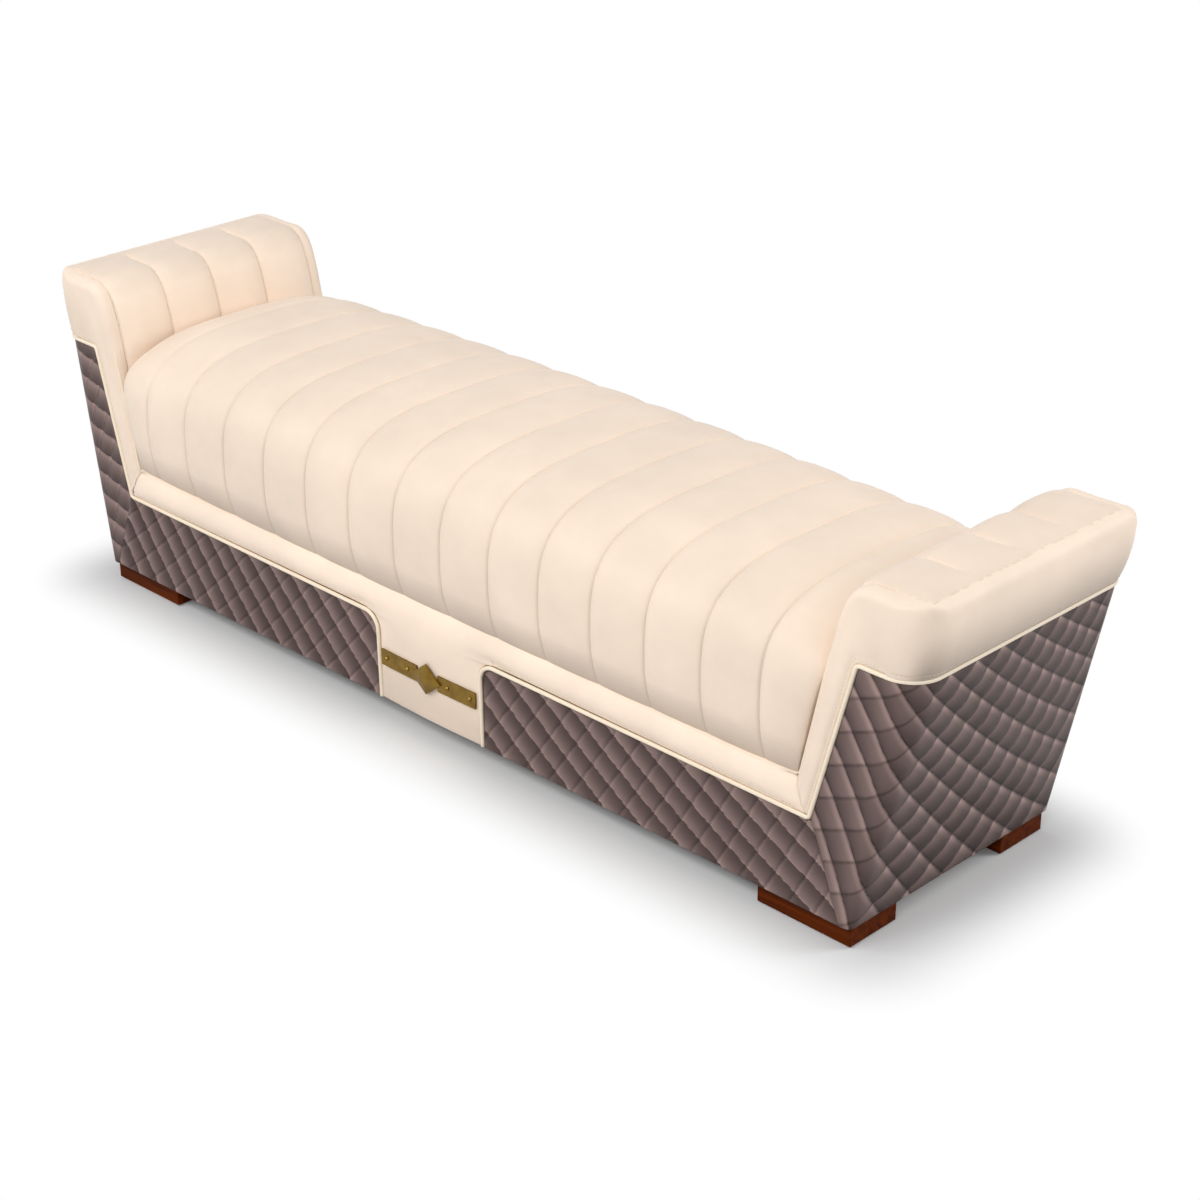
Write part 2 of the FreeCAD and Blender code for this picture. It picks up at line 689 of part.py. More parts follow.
# Quilted panels, borders and piping
def make_end_quilt(name):
    """Quilted end panel that wraps round both corners, whose radius grows towards the arm."""

    def band(height, start, turn):
        thick = size.quilt_thick
        out_x = outer(height)
        out_y = size.front_face
        nook = turn * (1 - HALF_ROOT)
        tight = thick + (turn - thick) * (1 - HALF_ROOT)
        return [(start, -out_y), (out_x - turn, -out_y), Via(out_x - nook, nook - out_y),
                (out_x, turn - out_y), (out_x, out_y - turn), Via(out_x - nook, out_y - nook),
                (out_x - turn, out_y), (start, out_y), (start, out_y - thick),
                (out_x - turn, out_y - thick), Via(out_x - tight, out_y - tight),
                (out_x - thick, out_y - turn), (out_x - thick, turn - out_y),
                Via(out_x - tight, tight - out_y), (out_x - turn, thick - out_y), (start, thick - out_y)]

    gap = size.pipe_gap + 0.2
    share = (size.trim_low - BASE) / (QUILT_TOP - BASE)
    middle_turn = size.corner_low + share * (size.corner_high - size.corner_low)
    body = new_body(name)
    loft(body, "plan", [(BASE, band(BASE, size.base_seam + CLEAR, size.corner_low)),
                        (size.trim_low, band(size.trim_low, size.trim_foot + gap, middle_turn)),
                        (QUILT_TOP, band(QUILT_TOP, trim(QUILT_TOP) + gap, size.corner_high))], ruled=True)
    return body


def make_front_quilt(name):
    """Front panel with a rounded upper corner beside the drop panel."""
    near = size.drop_half + size.pipe_gap
    top = size.trim_low - size.pipe_gap
    turn = size.drop_round
    nook = turn * (1 - HALF_ROOT)
    path = [(near, BASE), (size.base_seam - CLEAR, BASE), (size.trim_foot, top), (near + turn, top),
            Via(near + nook, top - nook), (near, top - turn)]
    return prism(name, "front", BACKING, size.quilt_thick, path)


def make_back_quilt():
    """One quilted panel along the back."""
    low = size.base_seam - CLEAR
    top = size.trim_low - size.pipe_gap
    path = [(-low, BASE), (low, BASE), (size.trim_foot, top), (-size.trim_foot, top)]
    keep(prism("back_quilt", "front", -size.front_face, size.quilt_thick, path), "back_quilt")


def make_border(name, toward):
    """Swelled border between the piping and the seat, mitred into the arm bands."""
    low = size.trim_low + size.pipe_gap
    high = size.border_top
    gap = size.pipe_gap + 0.2
    reach = inner(high) - CLEAR
    foot = trim(low) - gap - CLEAR
    depth = size.front_face - BACKING + size.border_bulge + 5
    start = BACKING if toward > 0 else -(BACKING + depth)
    body = prism(name, "front", start, depth, [(-foot, low), (foot, low), (reach, high), (-reach, high)])
    beyond = size.front_face + 40
    swell = size.front_face + size.border_bulge
    front = -toward
    hollow = [(front * size.front_face, low), Via(front * swell, 0.5 * (low + high)),
              (front * size.seat_side, high), (front * beyond, high), (front * beyond, low)]
    pocket(body, "end", -size.base_half, 2 * size.base_half, hollow)
    keep(body, name)


def make_drop_panel():
    """Swelled panel at the middle of the front, flaring into the border with concave corners."""
    turn = size.drop_round + 2 * size.pipe_gap
    near = size.drop_half - size.pipe_gap
    top = size.trim_low + size.pipe_gap
    nook = turn * (1 - HALF_ROOT)
    path = [(-near, BASE), (near, BASE), (near, top - turn), Via(near + nook, top - nook), (near + turn, top),
            (-near - turn, top), Via(-near - nook, top - nook), (-near, top - turn)]
    body = prism("drop_panel", "front", BACKING, size.front_face + 30 - BACKING, path)
    reach = near + turn + 1
    beyond = -(size.front_face + 60)
    hollow = [(-reach, drop_face(reach)), Via(0, drop_face(measure(0))), (reach, drop_face(reach)),
              (reach, beyond), (-reach, beyond)]
    pocket(body, "plan", 0, size.border_top, hollow)
    keep(body, "drop_panel")


def rounded_path(stops):
    """Straight runs joined by tangent arcs: stops are (point, bend radius), with no bend at the ends."""
    edges = []
    last = stops[0][0]
    for index in range(1, len(stops) - 1):
        corner, radius = stops[index]
        back = (stops[index - 1][0] - corner).normalize()
        ahead = (stops[index + 1][0] - corner).normalize()
        half_angle = back.getAngle(ahead) / 2
        run = radius / math.tan(half_angle)
        enter = corner + back * run
        leave = corner + ahead * run
        bisector = (back + ahead).normalize()
        crest = corner + bisector * (radius / math.sin(half_angle) - radius)
        edges.append(Part.LineSegment(last, enter).toShape())
        edges.append(Part.Arc(enter, crest, leave).toShape())
        last = leave
    edges.append(Part.LineSegment(last, stops[-1][0]).toShape())
    return Part.Wire(edges)


def make_piping(name, sign):
    """Piping of one side: beside the drop panel, under the seat, up the arm, round its end and back."""
    depth = size.front_face.number - 1
    low = size.trim_low.number
    high = size.cap_low.number
    bend = size.pipe_bend.number
    side = size.drop_half.number
    foot = size.trim_foot.number
    elbow = trim(size.cap_low).number
    end = outer(size.cap_low).number - 1
    turn = size.corner_high.number - 1
    drop_turn = size.drop_round.number + size.pipe_gap.number
    front = [(side, BASE.number, 0), (side, low, drop_turn), (foot, low, bend), (elbow, high, bend)]
    stops = [(Vector(sign * across, -depth, up), radius) for across, up, radius in front]
    stops += [(Vector(sign * end, -depth, high), turn), (Vector(sign * end, depth, high), turn)]
    rear = [(elbow, high, bend), (foot, low, bend), (0.3, low, 0)]
    stops += [(Vector(sign * across, depth, up), radius) for across, up, radius in rear]
    path = rounded_path(stops)
    circle = Part.makeCircle(size.pipe_radius.number, stops[0][0], Vector(0, 0, 1))
    tube = path.makePipeShell([Part.Wire([circle])], True, True)
    ratio = tube.Volume / (path.Length * math.pi * size.pipe_radius.number ** 2)
    print(name, "length", round(path.Length), "volume ratio", round(ratio, 4))
    piping = doc.addObject("Part::Feature", name)
    piping.Shape = tube
    keep(piping, name)


# Ornament on the drop panel
def make_ornament():
    """Two straps that meet under a bevelled lozenge, held by rivets."""
    low = size.strap_level - size.strap_height / 2
    clear = 0.3
    proud = clear + size.strap_thick
    near = size.boss_half - 9
    for side, sign in SIDES.items():
        stops = [near, 0.5 * (near + size.strap_end), size.strap_end]
        back = [(sign * stop, drop_face(stop, clear)) for stop in stops]
        front = [(sign * stop, drop_face(stop, proud)) for stop in stops]
        path = [back[0], Via(*back[1]), back[2], front[2], Via(*front[1]), front[0]]
        keep(prism(f"ornament_strap_{side}", "plan", low, size.strap_height, path), f"ornament_strap_{side}")
    boss = new_body("ornament_boss")
    base = -drop_face(measure(0), proud + clear)
    level = size.strap_level
    sections = []
    for rise, share in ((0, 1.0), (2.5, 1.0), (8, 0.25)):
        wide = share * size.boss_half
        tall = 0.8 * wide
        path = [(wide, level), (measure(0), level + tall), (-wide, level), (measure(0), level - tall)]
        sections.append((base + rise, path))
    loft(boss, "front", sections, ruled=True)
    keep(boss, "ornament_boss")
    rivets = []
    for side, sign in SIDES.items():
        for number, across in enumerate((near + 22, size.strap_end - 12)):
            rivet = doc.addObject("Part::Cone", f"rivet_{side}_{number}")
            rivet.Radius1 = 4
            rivet.Radius2 = 2
            rivet.Height = 2.5
            seat = drop_face(across, proud + 2 * clear)
            rivet.Placement = FreeCAD.Placement(Vector(0, 0, 0), FreeCAD.Rotation(Vector(1, 0, 0), 90))
            for letter, value in zip("xyz", (sign * across, seat, level)):
                rivet.setExpression(f".Placement.Base.{letter}", value.formula)
            rivets.append(rivet)
    group("ornament_rivets", rivets)


make_feet()
make_base_frame()
make_dust_cover()
make_seat_cover()
both_sides(make_arm_pad, "arm_pad")
both_sides(make_arm_foam, "arm_foam")
both_sides(make_arm_facing, "arm_facing")
make_arm_frame()
both_sides(make_end_quilt, "end_quilt")
both_sides(make_front_quilt, "front_quilt")
make_back_quilt()
make_border("front_border", 1)
make_border("back_border", -1)
make_drop_panel()
for piping_side, piping_sign in SIDES.items():
    make_piping(f"piping_{piping_side}", piping_sign)
make_ornament()
doc.recompute()

for item in doc.Objects:
    if "Invalid" in item.State or "Error" in item.State:
        raise RuntimeError(f"{item.Name} failed: {item.State}")
for piece in nodes:
    if piece.Shape.isNull() or not piece.Shape.isValid():
        raise RuntimeError(f"{piece.Label} has no valid shape")

os.makedirs("parts", exist_ok=True)
for piece in nodes:
    piece.Shape.exportStep(f"parts/{piece.Label}.step")
    box = piece.Shape.BoundBox
    spans = [(box.XMin, box.XMax), (box.YMin, box.YMax), (box.ZMin, box.ZMax)]
    print(piece.Label, len(piece.Shape.Solids), [tuple(round(edge, 1) for edge in span) for span in spans],
          round(piece.Shape.Volume / 1000))
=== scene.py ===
import math

import bmesh
import bpy
import numpy as np
from bpy.props import FloatProperty, FloatVectorProperty, PointerProperty
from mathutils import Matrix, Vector


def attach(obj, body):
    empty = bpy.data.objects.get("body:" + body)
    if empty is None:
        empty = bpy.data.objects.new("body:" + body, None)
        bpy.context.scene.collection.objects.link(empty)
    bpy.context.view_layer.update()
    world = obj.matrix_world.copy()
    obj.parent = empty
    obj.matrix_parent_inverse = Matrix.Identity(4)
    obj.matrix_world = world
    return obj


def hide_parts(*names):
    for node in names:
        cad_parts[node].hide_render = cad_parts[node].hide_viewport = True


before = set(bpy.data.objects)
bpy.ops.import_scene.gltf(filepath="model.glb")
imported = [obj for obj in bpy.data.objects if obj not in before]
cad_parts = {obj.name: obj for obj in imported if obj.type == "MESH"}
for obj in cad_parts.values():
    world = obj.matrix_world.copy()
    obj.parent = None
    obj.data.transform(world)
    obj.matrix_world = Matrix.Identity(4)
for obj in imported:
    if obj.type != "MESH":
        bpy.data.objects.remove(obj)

bl_info = {
    "name": "Bed bench upholstery",
    "version": (1, 0, 0),
    "blender": (4, 5, 0),
    "location": "View3D > Sidebar > Bench",
    "description": "Builds the leather, piping, stitching and studio of an upholstered bed bench",
    "category": "Object",
}

# Driving sizes, in millimetres from the floor and from the middle of the bench

MM = 0.001
BASE = 36.0  # height of the base's bottom edge
BASE_HALF = 845.0  # half length of the base at its bottom edge
LEAN = 0.22  # how far the ends lean out for each step up
FACE = 232.0  # front of the smooth leather
QUILT = 230.0  # front of the quilting
HEM = 222.0  # depth to which smooth leather is turned in
END_RUN = 2.0 * QUILT  # run from the front corner to the rear one along an end
QUILT_SQUARE = 47.0  # side of a quilted square
LIGHTEST = 2.5  # how many times lighter than its dye the quilting's painted light makes it at most
SEAT_BELLY = 330.0  # height where the seat is deepest
SEAT_CHANNELS = 13  # full channels between the two end ones
BORDER_LOW = 185.8  # lower edge of the border under the seat
BORDER_TOP = 236.0  # upper edge of the border
BORDER_TALL = BORDER_TOP - BORDER_LOW
STITCH_ROW = 193.3  # stitches along the border
DROP_FLARE = 146.3  # half width of the drop panel where it runs out into the border
DROP_TURN = 32.6  # radius of that flare
DROP_LOW = BORDER_LOW - DROP_TURN
ARM_FOOT = 740.0  # inside of the arm at the border's upper edge
ARM_BEND = 466.0  # height where the inside of the arm begins to curl
ARM_CREST = (846.0, 551.5)  # where the curl reaches the top of the arm
ARM_EDGE = (934.0, 553.0)  # outer edge of the arm's top
ARM_CHANNELS = 4
PAD_HALF = 206.4  # half width of an arm pad
CAP_TOP = 524.0  # where the arm's cap turns down
CAP_EDGE = 443.0  # lower edge of the cap
FRONT_TURN = 50.0  # radius of the cap's front corner
REAR_TURN = 30.0  # radius of the cap's rear corner
TRIM_FOOT = (766.0, 182.0)  # lower corner of the piping beside the seat
SIDES = {"right": 1.0, "left": -1.0}
# Mesh attribute with the light and shade painted into the leather's colour at each point
PAINTED_LIGHT_ATTRIBUTE = "painted_light_and_shade"


def outer(z):
    """Where the leaning end of the bench stands at height z."""
    return BASE_HALF + LEAN * (z - BASE)


def inner(z):
    """Where the inside of the arm stands at height z, under its padding."""
    return ARM_FOOT + LEAN * (z - BORDER_TOP)


def cap_side(z):
    """Where the rounded side of the arm's cap stands at height z."""
    up = (z - CAP_EDGE) / (CAP_TOP - CAP_EDGE)
    return outer(z) + 20.0 * up * (1.0 - up)


def trim(z):
    """Line of the piping up the front of the arm at height z."""
    return TRIM_FOOT[0] + 0.268 * (z - TRIM_FOOT[1])


# Shape helpers


def line(a, b, count):
    """Evenly spaced points from a to b."""
    t = np.linspace(0.0, 1.0, count)[:, None]
    return np.array(a, float) * (1.0 - t) + np.array(b, float) * t


def curve(a, b, c, d, count):
    """Points of a cubic curve with end points a and d."""
    t = np.linspace(0.0, 1.0, count)[:, None]
    a, b, c, d = (np.array(p, float) for p in (a, b, c, d))
    return (1 - t) ** 3 * a + 3 * (1 - t) ** 2 * t * b + 3 * (1 - t) * t**2 * c + t**3 * d


def chain(*runs):
    """Joins runs of points, dropping the point each run shares with the one before."""
    return np.vstack([runs[0]] + [r[1:] for r in runs[1:]])


def along(points):
    """Distance of each point along the line that joins them."""
    steps = np.linalg.norm(np.diff(points, axis=0), axis=1)
    return np.concatenate([[0.0], np.cumsum(steps)])


def spaced(points, count):
    """The same line with its points spread evenly."""
    at = along(points)
    want = np.linspace(0.0, at[-1], count)
    return np.column_stack([np.interp(want, at, points[:, k]) for k in range(points.shape[1])])


def out_of(points):
    """Unit normals on the left-hand side of a flat line."""
    d = np.gradient(points, axis=0)
    n = np.column_stack([-d[:, 1], d[:, 0]])
    return n / np.linalg.norm(n, axis=1)[:, None]


def filleted(corners, radii, step=4.0):
    """Line through the corners, each rounded to its radius."""
    p = np.array(corners, float)
    runs = [p[:1]]
    for k in range(1, len(p) - 1):
        u = (p[k - 1] - p[k]) / np.linalg.norm(p[k - 1] - p[k])
        w = (p[k + 1] - p[k]) / np.linalg.norm(p[k + 1] - p[k])
        half = 0.5 * math.acos(float(np.clip(u @ w, -1.0, 1.0)))
        middle = p[k] + (u + w) / np.linalg.norm(u + w) * radii[k] / math.sin(half)
        a = p[k] + u * radii[k] / math.tan(half) - middle
        b = p[k] + w * radii[k] / math.tan(half) - middle
        swing = math.pi - 2.0 * half
        t = np.linspace(0.0, 1.0, max(4, int(radii[k] * swing / 2.0)))[:, None]
        arc = (a * np.sin((1 - t) * swing) + b * np.sin(t * swing)) / math.sin(swing)
        runs.append(middle + arc)
    runs.append(p[-1:])
    path = np.vstack(runs)
    return spaced(path, max(2, int(along(path)[-1] / step)))


def crown(s, square=2.4, ease=0.7):
    """Rounded rise of stuffing between two seams, 0 at the seams and 1 between them."""
    return np.clip(1.0 - np.abs(2.0 * s - 1.0) ** square, 0.0, 1.0) ** ease


def seam_spread(per):
    """Positions across one channel, closer together by its seams."""
    return 0.5 - 0.5 * np.cos(np.linspace(0.0, np.pi, per + 1))


class Shell:
    """Gathers grids of points into one skin."""

    def __init__(self):
        self.points = []
        self.faces = []
        self.count = 0

    def grid(self, grid):
        """Adds a grid of points as four-sided faces."""
        rows, cols = grid.shape[:2]
        index = self.count + np.arange(rows * cols).reshape(rows, cols)
        quads = np.stack([index[:-1, :-1], index[:-1, 1:], index[1:, 1:], index[1:, :-1]], axis=-1)
        self.points.append(grid.reshape(-1, 3))
        self.faces.append(quads.reshape(-1, 4))
        self.count += rows * cols

    def joined(self, side=1.0):
        """All points and faces, swapped to the other end of the bench when side is -1."""
        points = np.vstack(self.points)
        points[:, 0] *= side
        return points, np.vstack(self.faces)


def piece(name, points, faces, material, weld=0.05, painted_light=None):
    """Makes a smooth mesh piece from points in millimetres and fixes it to the bench.

    The last argument gives the light and shade painted into the leather's colour at each point, from 0,
    darkest, as in a seam, to 1.
    """
    mesh = bpy.data.meshes.new(name)
    mesh.from_pydata((np.asarray(points) * MM).tolist(), [], [tuple(map(int, f)) for f in faces])
    skin = bmesh.new()
    skin.from_mesh(mesh)
    shade = skin.verts.layers.float.new(PAINTED_LIGHT_ATTRIBUTE)
    for k, v in enumerate(skin.verts):
        v[shade] = 1.0 if painted_light is None else float(painted_light[k])
    if weld:
        bmesh.ops.remove_doubles(skin, verts=skin.verts, dist=weld * MM)
        bmesh.ops.dissolve_degenerate(skin, edges=skin.edges, dist=1e-6)
    bmesh.ops.recalc_face_normals(skin, faces=skin.faces)
    for face in skin.faces:
        face.smooth = True
    skin.to_mesh(mesh)
    skin.free()
    return fixed(name, mesh, material)


def fixed(name, mesh, material):
    """Puts a mesh in the scene with its material and fixes it to the bench."""
    if not mesh.polygons:
        raise RuntimeError(f"{name} has no faces")
    obj = bpy.data.objects.new(name, mesh)
    bpy.context.scene.collection.objects.link(obj)
    mesh.materials.clear()
    mesh.materials.append(material)
    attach(obj, "root")
    return obj


def tube(path, radius, sides=10):
    """Points and faces of a round cord along a path."""
    path = np.asarray(path, float)
    tangent = np.gradient(path, axis=0)
    tangent /= np.linalg.norm(tangent, axis=1)[:, None]
    side = np.cross(tangent[0], [0.3, 0.5, 0.8])
    rings = []
    angle = np.linspace(0.0, 2.0 * np.pi, sides, endpoint=False)
    for at, way in zip(path, tangent):
        side = side - way * (side @ way)
        side /= np.linalg.norm(side)
        up = np.cross(way, side)
        rings.append(at + radius * (np.cos(angle)[:, None] * side + np.sin(angle)[:, None] * up))
    rings = np.array(rings)
    points = rings.reshape(-1, 3)
    faces = []
    for r in range(len(path) - 1):
        for k in range(sides):
            n = (k + 1) % sides
            faces.append((r * sides + k, r * sides + n, (r + 1) * sides + n, (r + 1) * sides + k))
    faces.append(tuple(range(sides))[::-1])
    faces.append(tuple(range((len(path) - 1) * sides, len(path) * sides)))
    return points, faces


# Materials


def new_material(name):
    """A new material with the nodes and links of its shader."""
    material = bpy.data.materials.new(name)
    material.use_nodes = True
    return material, material.node_tree.nodes, material.node_tree.links


def add(nodes, kind, **values):
    """Adds a shader node and sets its sockets."""
    node = nodes.new(kind)
    for key, value in values.items():
        node.inputs[key.replace("_", " ")].default_value = value
    return node


def ramp(nodes, links, source, low, high, start=0.3, end=0.7):
    """Turns a pattern into a run of colour from low to high."""
    node = nodes.new("ShaderNodeValToRGB")
    node.color_ramp.elements[0].position = start
    node.color_ramp.elements[1].position = end
    node.color_ramp.elements[0].color = (*low, 1.0)
    node.color_ramp.elements[1].color = (*high, 1.0)
    links.new(source, node.inputs["Fac"])
    return node.outputs["Color"]


def span(nodes, links, source, low, high):
    """Turns a pattern into a run of numbers from low to high."""
    node = nodes.new("ShaderNodeMapRange")
    node.inputs["From Min"].default_value = 0.3
    node.inputs["From Max"].default_value = 0.7
    node.inputs["To Min"].default_value = low
    node.inputs["To Max"].default_value = high
    links.new(source, node.inputs["Value"])
    return node.outputs["Result"]


def tinted(colour, by):
    """A colour made lighter or darker."""
    return tuple(min(1.0, c * by) for c in colour)


def leather(
    name,
    colour,
    rough,
    grain=900.0,
    depth=0.25,
    spread=0.05,
    seam=0.7,
    shine=0.24,
    sheen=0.08,
    spot=0.8,
    rubbed=(1.0, 1.0, 1.0),
):
    """Upholstery leather with pebbled grain, creases and uneven dye, with light and shade painted into its
    colour from a mesh attribute, darkest in seams.

    The dye is multiplied by seam, the deepest painted shade, where the painted light is 0, and by the given
    tint where it reaches spot.
    """
    material, nodes, links = new_material(name)
    shader = nodes["Principled BSDF"]
    place = nodes.new("ShaderNodeTexCoord").outputs["Object"]
    dye = add(nodes, "ShaderNodeTexNoise", Scale=7.0, Detail=4.0, Roughness=0.6)
    pebble = add(nodes, "ShaderNodeTexVoronoi", Scale=grain)
    pore = add(nodes, "ShaderNodeTexNoise", Scale=grain * 1.7, Detail=3.0)
    crease = add(nodes, "ShaderNodeTexNoise", Scale=42.0, Detail=5.0, Roughness=0.55)
    for node in (dye, pebble, pore, crease):
        links.new(place, node.inputs["Vector"])
    pale, dark = tinted(colour, 1.0 + spread), tinted(colour, 1.0 - spread)
    colours = ramp(nodes, links, dye.outputs["Fac"], dark, pale)
    # Painted light and shade read from the mesh attribute
    painted_light = nodes.new("ShaderNodeAttribute")
    painted_light.attribute_name = PAINTED_LIGHT_ATTRIBUTE
    shade = ramp(nodes, links, painted_light.outputs["Fac"], (seam,) * 3, rubbed, 0.0, spot)
    deep = nodes.new("ShaderNodeMix")
    deep.data_type = "RGBA"
    deep.blend_type = "MULTIPLY"
    deep.inputs["Factor"].default_value = 1.0
    links.new(colours, deep.inputs[6])
    links.new(shade, deep.inputs[7])
    links.new(deep.outputs[2], shader.inputs["Base Color"])
    polish = span(nodes, links, crease.outputs["Fac"], rough - 0.05, rough + 0.06)
    links.new(polish, shader.inputs["Roughness"])
    shader.inputs["Specular IOR Level"].default_value = shine
    shader.inputs["Sheen Weight"].default_value = sheen
    shader.inputs["Sheen Roughness"].default_value = 0.4
    last = None
    for node, output, strength, distance in (
        (crease, "Fac", 0.10, 0.0016),
        (pebble, "Distance", depth, 0.0003),
        (pore, "Fac", depth * 0.6, 0.0002),
    ):
        bump = add(nodes, "ShaderNodeBump", Strength=strength, Distance=distance)
        links.new(node.outputs[output], bump.inputs["Height"])
        if last:
            links.new(last.outputs["Normal"], bump.inputs["Normal"])
        last = bump
    links.new(last.outputs["Normal"], shader.inputs["Normal"])
    return material


def wood(name, dark, light, gloss, stretch=(1.2, 26.0, 26.0)):
    """Timber with long grain and short pores."""
    material, nodes, links = new_material(name)
    shader = nodes["Principled BSDF"]
    place = nodes.new("ShaderNodeTexCoord").outputs["Object"]
    turn = nodes.new("ShaderNodeMapping")
    turn.inputs["Scale"].default_value = stretch
    links.new(place, turn.inputs["Vector"])
    rings = add(nodes, "ShaderNodeTexNoise", Scale=3.0, Detail=6.0, Roughness=0.62, Distortion=0.7)
    pores = add(nodes, "ShaderNodeTexNoise", Scale=22.0, Detail=4.0, Roughness=0.7)
    for node in (rings, pores):
        links.new(turn.outputs["Vector"], node.inputs["Vector"])
    links.new(ramp(nodes, links, rings.outputs["Fac"], dark, light, 0.36, 0.66), shader.inputs["Base Color"])
    links.new(span(nodes, links, pores.outputs["Fac"], gloss, gloss + 0.18), shader.inputs["Roughness"])
    shader.inputs["Specular IOR Level"].default_value = 0.04
    bump = add(nodes, "ShaderNodeBump", Strength=0.16, Distance=0.0006)
    links.new(pores.outputs["Fac"], bump.inputs["Height"])
    links.new(bump.outputs["Normal"], shader.inputs["Normal"])
    return material


def metal(name, dark, light, rough, scale=60.0):
    """Brushed and slightly tarnished metal."""
    material, nodes, links = new_material(name)
    shader = nodes["Principled BSDF"]
    shader.inputs["Metallic"].default_value = 1.0
    place = nodes.new("ShaderNodeTexCoord").outputs["Object"]
    brush = nodes.new("ShaderNodeMapping")
    brush.inputs["Scale"].default_value = (1.0, 12.0, 12.0)
    links.new(place, brush.inputs["Vector"])
    tarnish = add(nodes, "ShaderNodeTexNoise", Scale=scale, Detail=5.0, Roughness=0.6)
    lines = add(nodes, "ShaderNodeTexNoise", Scale=140.0, Detail=3.0)
    links.new(place, tarnish.inputs["Vector"])
    links.new(brush.outputs["Vector"], lines.inputs["Vector"])
    links.new(ramp(nodes, links, tarnish.outputs["Fac"], dark, light), shader.inputs["Base Color"])
    links.new(span(nodes, links, lines.outputs["Fac"], rough, rough + 0.14), shader.inputs["Roughness"])
    bump = add(nodes, "ShaderNodeBump", Strength=0.12, Distance=0.0003)
    links.new(lines.outputs["Fac"], bump.inputs["Height"])
    links.new(bump.outputs["Normal"], shader.inputs["Normal"])
    return material


def fibre(name, dark, light, scale, depth):
    """Felt, foam, thread or woven backing with a soft uneven face."""
    material, nodes, links = new_material(name)
    shader = nodes["Principled BSDF"]
    place = nodes.new("ShaderNodeTexCoord").outputs["Object"]
    fuzz = add(nodes, "ShaderNodeTexNoise", Scale=scale, Detail=6.0, Roughness=0.7)
    cells = add(nodes, "ShaderNodeTexVoronoi", Scale=scale * 0.8)
    for node in (fuzz, cells):
        links.new(place, node.inputs["Vector"])
    links.new(ramp(nodes, links, fuzz.outputs["Fac"], dark, light), shader.inputs["Base Color"])
    links.new(span(nodes, links, fuzz.outputs["Fac"], 0.8, 0.95), shader.inputs["Roughness"])
    shader.inputs["Sheen Weight"].default_value = 0.2
    bump = add(nodes, "ShaderNodeBump", Strength=depth, Distance=0.0008)
    links.new(cells.outputs["Distance"], bump.inputs["Height"])
    links.new(bump.outputs["Normal"], shader.inputs["Normal"])
    return material


def shared(name, maker, *values, **more):
    """The material of that name, made the first time it is asked for."""
    return bpy.data.materials.get(name) or maker(name, *values, **more)


def cream_leather(context):
    """Leather of the seat, arms and borders."""
    colour = tuple(context.scene.bench_colours.cream)
    # Painted shade takes the colour down to half where the painted light is 0
    return shared("cream_leather", leather, colour, 0.46, seam=0.5, spot=1.0)


def piping_leather(context):
    """Leather of the piping and welts."""
    return shared("piping_leather", leather, tuple(context.scene.bench_colours.piping), 0.42)


def brown_leather(context):
    """Leather of the quilting, its colour as light as its lightest painted highlights and darkened by painted
    shade elsewhere.
    """
    colour = tinted(context.scene.bench_colours.brown, LIGHTEST)
    finish = {"depth": 0.3, "spread": 0.08, "seam": 0.0, "shine": 0.07, "sheen": 0.0, "spot": 1.0}
    # Painted shade takes the colour to black where the painted light is 0; the painted highlights are a
    # little bluer
    return shared("brown_leather", leather, colour, 0.36, rubbed=(0.97, 1.0, 1.03), **finish)


def thread(context):
    """Thread of the stitches."""
    colour = tuple(context.scene.bench_colours.thread)
    return shared("stitching_thread", fibre, tinted(colour, 0.85), tinted(colour, 1.08), 1500.0, 0.3)


# Seat


def seat_section(count):
    """Outline of the seat at a seam, from its front lower edge over the top to the rear one."""
    deep, tall = 250.0, 157.0
    up = np.linspace(BORDER_TOP, SEAT_BELLY, 40)
    drawn_in = 19.0 * ((SEAT_BELLY - up) / (SEAT_BELLY - BORDER_TOP)) ** 2.2
    front = np.column_stack([drawn_in - deep, up])
    turn = np.linspace(0.0, np.pi, 400)
    lean = np.cos(turn)
    across = -deep * np.sign(lean) * np.abs(lean) ** 0.625
    arch = np.column_stack([across, SEAT_BELLY + tall * np.abs(np.sin(turn)) ** 0.625])
    tuck = np.array([[-217.0, 226.0], [-225.0, 230.0]])
    back = [-1.0, 1.0]
    return spaced(np.vstack([tuck, front[:-1], arch, front[::-1][1:] * back, tuck[::-1] * back]), count)


def puckers(rng, rows, reach, pitch, depth):
    """Small pleats across a seam: a wave along it whose height wanders."""
    wave = np.sin(2.0 * np.pi * np.arange(rows) * reach / pitch + rng.uniform(0.0, 6.28))
    drift = np.interp(np.linspace(0, 12, rows), np.arange(13), rng.uniform(0.2, 1.0, 13))
    return depth * wave * drift


